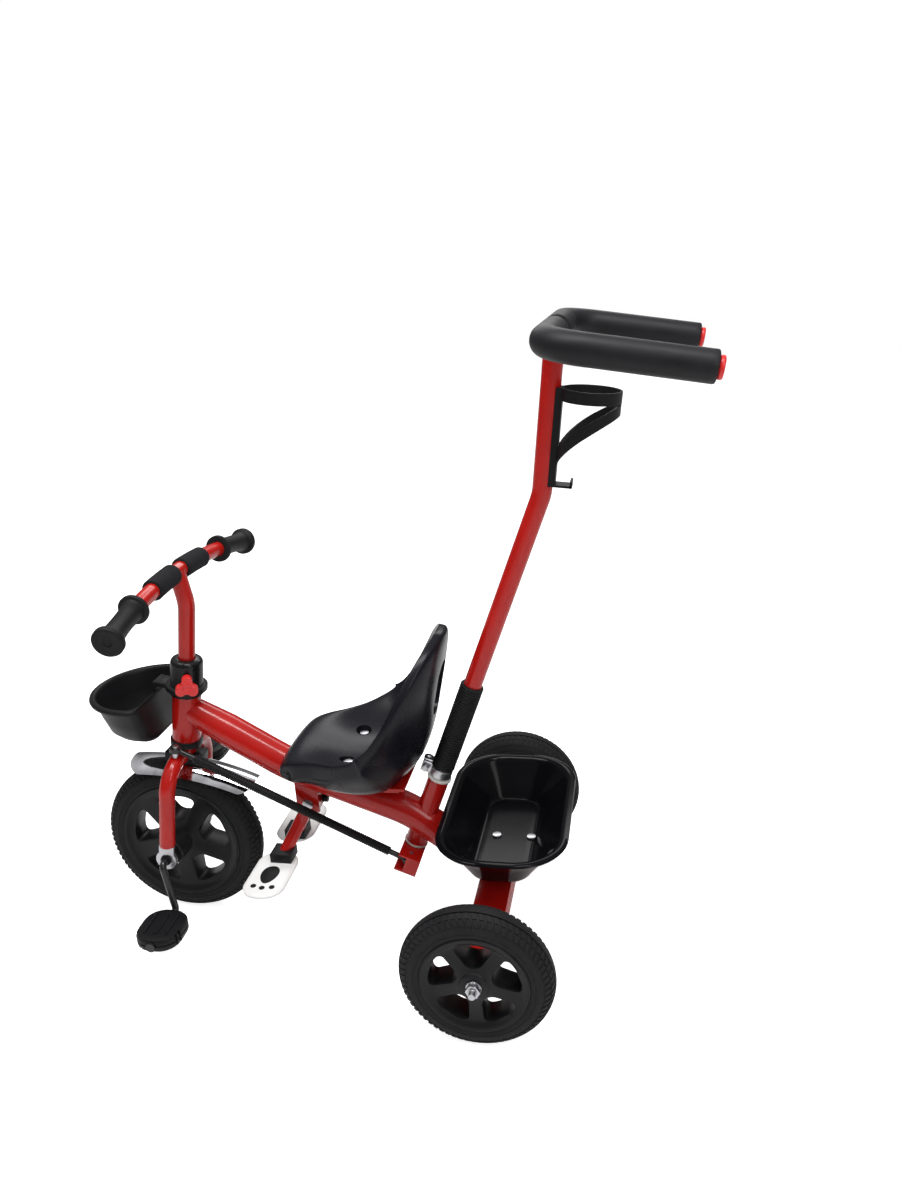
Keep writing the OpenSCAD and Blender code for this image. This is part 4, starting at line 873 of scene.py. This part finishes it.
floor_x = 0.046
floor_y = 0.107
rim_x = tub_half.x - tub_lip
rim_y = tub_half.y - tub_lip
waist_x = floor_x + 0.45 * (rim_x - floor_x)
waist_y = floor_y + 0.45 * (rim_y - floor_y)
tub_stack = [(0.0, 0.0, 0.0, 0.0, 0.0), (floor_x - 0.012, floor_y - 0.012, 0.024, 0.0, 0.003),
             (floor_x - 0.003, floor_y - 0.003, 0.031, 0.0015, 0.003),
             (floor_x, floor_y, 0.034, 0.006, 0.003),
             (waist_x, waist_y, 0.047, 0.028, 0.0015),
             (rim_x - 0.002, rim_y - 0.002, 0.060, 0.049, 0.0),
             (rim_x + 0.002, rim_y + 0.002, 0.064, 0.0515, 0.0),
             (rim_x + 0.008, rim_y + 0.008, 0.070, 0.052, 0.0),
             (rim_x + 0.010, rim_y + 0.010, 0.072, 0.0545, 0.0),
             (rim_x + 0.0085, rim_y + 0.0085, 0.071, 0.0572, 0.0),
             (rim_x + 0.004, rim_y + 0.004, 0.066, 0.058, 0.0),
             (rim_x - 0.001, rim_y - 0.001, 0.061, 0.0568, 0.0),
             (rim_x - 0.0045, rim_y - 0.0045, 0.058, 0.050, 0.0),
             (waist_x - tub_wall, waist_y - tub_wall, 0.044, 0.029, 0.0015),
             (floor_x - tub_wall, floor_y - tub_wall, 0.031, 0.0080, 0.003),
             (floor_x - 0.0050, floor_y - 0.0050, 0.030, tub_wall + 0.0010, 0.003),
             (floor_x - 0.0075, floor_y - 0.0075, 0.028, tub_wall, 0.003),
             (floor_x - 0.0090, floor_y - 0.0090, 0.027, tub_wall, 0.003),
             (floor_x - 0.0095, floor_y - 0.0095, 0.0265, tub_wall + 0.0010, 0.003),
             (floor_x - 0.0108, floor_y - 0.0108, 0.0252, tub_wall + 0.0014, 0.003),
             (floor_x - 0.0180, floor_y - 0.0180, 0.020, tub_wall + 0.0014, 0.003),
             (0.0, 0.0, 0.0, tub_wall + 0.0014, 0.003)]
rings = []
for half_x, half_y, corner, height, shift in tub_stack:
    rings.append(tub_ring(half_x, half_y, corner, tub_low.z + height, shift))
tub = lofted("rear_basket_tub", rings, caps=False)
smooth(tub, 50)
tub_black = surface("tub_black", (0.004, 0.004, 0.005), 0.13, shine=0.08, mottle=0.1, grain=500.0,
                    relief=0.04)
finish_piece(tub, tub_black, "frame", "black_plastic", "rear_basket")


# Footrest: white moulded plates on red arms, clipped on in black.
# Each plate has a dark foot pad and three dots, raised a little above it.
white_plastic = surface("white_plastic", (0.86, 0.86, 0.85), 0.36, mottle=0.02, grain=700.0, relief=0.04)
plate_low, plate_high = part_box("footplates")
plate_half_x = (plate_high.x - plate_low.x) / 2
plate_length = 0.110
plate_inner = plate_high.y - plate_length
parts = []
pads = []
for side in (1, -1):
    heart = Vector(((plate_low.x + plate_high.x) / 2, side * (plate_inner + plate_length / 2), 0))
    rings = []
    for height, inset in ((plate_low.z, 0.006), (plate_low.z + 0.0008, 0.003),
                          (plate_low.z + 0.003, 0.0006), (plate_low.z + 0.006, 0.0),
                          (plate_high.z - 0.0018, 0.0008), (plate_high.z - 0.0004, 0.0030),
                          (plate_high.z, 0.0060)):
        outline = plan_outline(plate_half_x - inset, plate_length / 2 - inset, 0.027 - inset / 2)
        rings.append([heart + Vector((x, y, height)) for x, y in outline])
    parts.append(lofted("footplate", rings))
    marks = [(0.0, 0.006, 0.0130, 0.0205)]
    for x in (-0.014, 0.0, 0.014):
        marks.append((x, 0.034 + (0.003 if x == 0 else 0.0), 0.0042, 0.0042))
    for x, y, wide, long in marks:
        rings = []
        for lift, share in ((-0.001, 1.0), (0.0004, 1.0), (0.0009, 0.92)):
            ring = []
            for k in range(36):
                turn = 2 * math.pi * k / 36
                narrow = 1.0 - 0.18 * math.sin(turn) * (1 if wide > 0.01 else 0)
                ring.append(heart + Vector((x + share * wide * math.cos(turn) * narrow,
                                            side * (y + share * long * math.sin(turn)),
                                            plate_high.z + lift)))
            rings.append(ring)
        pads.append(lofted("foot_pad", rings))
only(parts[0])
parts[1].select_set(True)
bpy.ops.object.join()
smooth(parts[0], 40)
finish_piece(parts[0], white_plastic, "footrest", "white_plastic", "footplates")
only(pads[0])
for pad in pads[1:]:
    pad.select_set(True)
bpy.ops.object.join()
smooth(pads[0], 40)
finish_piece(pads[0], grip_rubber, "footrest", "black_rubber")
eased("footplate_clips", 0.0016, satin_black, segments=3)


# Push handle foam: two bent lengths of closed-cell tube that leave a short bare gap in the middle.
# Each follows the handle's middle line: out to the side, round the bend and back along the arm.
handle_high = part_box("push_handle")[1]
handle_drop = math.radians(9.7)
handle_radius = 0.011
handle_half = 0.168
handle_arm = 0.178
handle_bend = 0.045
handle_gap = 0.015
handle_middle = Vector((handle_high.x - handle_radius, 0, handle_high.z - handle_radius))
handle_back = Vector((-math.cos(handle_drop), 0, -math.sin(handle_drop)))


def on_handle(along):
    """A point of the handle's middle line on the left, this far from the bare gap's centre."""
    left = Vector((0, 1, 0))
    straight = handle_half - handle_bend
    arc = handle_bend * math.pi / 2
    if along <= straight:
        return handle_middle + left * along, left
    if along <= straight + arc:
        turn = (along - straight) / handle_bend
        point = handle_middle + left * (straight + handle_bend * math.sin(turn))
        point = point + handle_back * handle_bend * (1 - math.cos(turn))
        return point, left * math.cos(turn) + handle_back * math.sin(turn)
    rest = along - straight - arc
    return handle_middle + left * handle_half + handle_back * (handle_bend + rest), handle_back


handle_run = handle_half - handle_bend + handle_bend * math.pi / 2 + handle_arm - handle_bend
parts = []
for side in (1, -1):
    path = sleeve_path(on_handle, handle_gap, handle_run, 0.0175, handle_radius, 0.0026, 46)
    if side < 0:
        flip = Matrix.Scale(-1, 3, Vector((0, 1, 0)))
        path = [(flip @ point, flip @ heading, radius) for point, heading, radius in path]
    parts.append(swept("handle_foam_length", path, 48, False))
only(parts[0])
parts[1].select_set(True)
bpy.ops.object.join()
smooth(parts[0], 40)
handle_skin = surface("handle_skin", (0.009, 0.009, 0.011), 0.5, shine=0.26, mottle=0.2, grain=1500.0,
                      relief=0.16)
finish_piece(parts[0], handle_skin, "push_bar", "foam", "handle_foam")


# Ribbed sleeve over the foot of the push bar, and the ribbed cover of the steering rod.
# Both are moulded black rubber with round-edged ribs.
push_axis = Vector(joints["push_turn"]["axis"])
push_foot = Vector(joints["push_turn"]["pos_m"])


def ribbed(name, foot, axis, length, core, outer, bore, ribs, sides):
    """A sleeve with round-edged ribs, open at both ends."""
    pitch = length / ribs
    profile = [(bore, 0.0)]
    for k in range(ribs):
        start = k * pitch
        profile += [(core, start), (core + 0.7 * (outer - core), start + 0.08 * pitch),
                    (outer, start + 0.2 * pitch), (outer, start + 0.5 * pitch),
                    (core + 0.7 * (outer - core), start + 0.62 * pitch), (core, start + 0.7 * pitch)]
    profile += [(core, length), (bore, length), (bore, 0.0)]
    piece = turned(name, profile, foot, axis, sides, caps=False)
    smooth(piece, 60)
    return piece


sleeve = ribbed("push_sleeve_ribs", push_foot + 0.135 * push_axis, push_axis, 0.137, 0.0154, 0.0165,
                0.0127, 34, 48)
finish_piece(sleeve, grip_rubber, "push_bar", "black_rubber", "ribbed_sleeve")
rod_front = Vector(joints["rod_swing"]["pos_m"]) + 0.003 * steer_axis
rod_rear = push_foot + Vector((0, 0.030, 0)) - 0.018 * push_axis
rod_axis = (rod_rear - rod_front).normalized()
rod_length = (rod_rear - rod_front).length
cover = ribbed("rod_cover_ribs", rod_front + 0.031 * rod_axis, rod_axis, rod_length - 0.062, 0.0059,
               0.0065, 0.0040, 96, 28)
finish_piece(cover, grip_rubber, "steering_rod", "black_rubber", "rod_cover")


# Bottle cage: a black moulded plate behind the push bar with a hoop, a foot and two curved arms.
# The arms spring from the plate's lower half and sweep round the bottle to the hoop's outer end.
cage_heart = push_foot + 0.558 * push_axis
cage_lean = math.radians(6.2)
cage_up = Vector((-math.sin(cage_lean), 0, math.cos(cage_lean)))
cage_back = Vector((-math.cos(cage_lean), 0, -math.sin(cage_lean)))
cage_low = 0.012
cage_high = 0.134
cage_half = 0.011
cage_face = 0.0157
cage_middle = 0.0497


def cage_point(back, side, up):
    """A point behind, beside and above the foot of the push bar's upper length."""
    return cage_heart + back * cage_back + Vector((0, side, 0)) + up * cage_up


rings = []
for up, inset in ((cage_low, 0.0008), (cage_low + 0.0008, 0.0), (cage_high - 0.0008, 0.0),
                  (cage_high, 0.0008)):
    ring = []
    for step in range(13):
        turn = math.radians(-58 + 116 * step / 12)
        ring.append(cage_point(0.0128 * math.cos(turn), 0.0128 * math.sin(turn), up))
    ring.append(cage_point(cage_face - inset, cage_half, up))
    ring.append(cage_point(cage_face - inset, -cage_half, up))
    rings.append(ring)
cage = lofted("bottle_cage_plate", rings)
hoop_shape = [(0.0340, 0.1195), (0.0345, 0.1190), (0.0365, 0.1190), (0.0370, 0.1195), (0.0370, 0.1335),
              (0.0365, 0.1340), (0.0345, 0.1340), (0.0340, 0.1335), (0.0340, 0.1195)]
hoop = turned("bottle_cage_hoop", hoop_shape, cage_heart + cage_middle * cage_back, cage_up, 72,
              caps=False)
rings = []
for step in range(73):
    turn = 2 * math.pi * step / 72 - math.pi
    share = (1 + math.cos(turn)) / 2
    heart = 0.046 + 0.066 * share ** 0.62
    half = 0.0092 - 0.0024 * share
    ring = []
    for reach, rise in ((0.0342, -1), (0.0368, -1), (0.0368, 1), (0.0342, 1)):
        ring.append(cage_point(cage_middle + reach * math.cos(turn), reach * math.sin(turn),
                               heart + rise * half))
    rings.append(ring)
arms = lofted("bottle_cage_arms", rings, caps=False)
feet = []
for back, up, size in ((0.0250, 0.0135, (0.0240, 0.003)), (0.0355, 0.0165, (0.003, 0.009))):
    rings = []
    for side in (-cage_half, cage_half):
        ring = []
        for x, z in ((-0.5, -0.5), (0.5, -0.5), (0.5, 0.5), (-0.5, 0.5)):
            ring.append(cage_point(back + x * size[0], side, up + z * size[1]))
        rings.append(ring)
    feet.append(lofted("bottle_cage_foot", rings))
only(cage)
for part in (hoop, arms, *feet):
    part.select_set(True)
bpy.ops.object.join()
smooth(cage, 35)
finish_piece(cage, satin_black, "push_bar", slot_of_node["bottle_cage"], "bottle_cage")
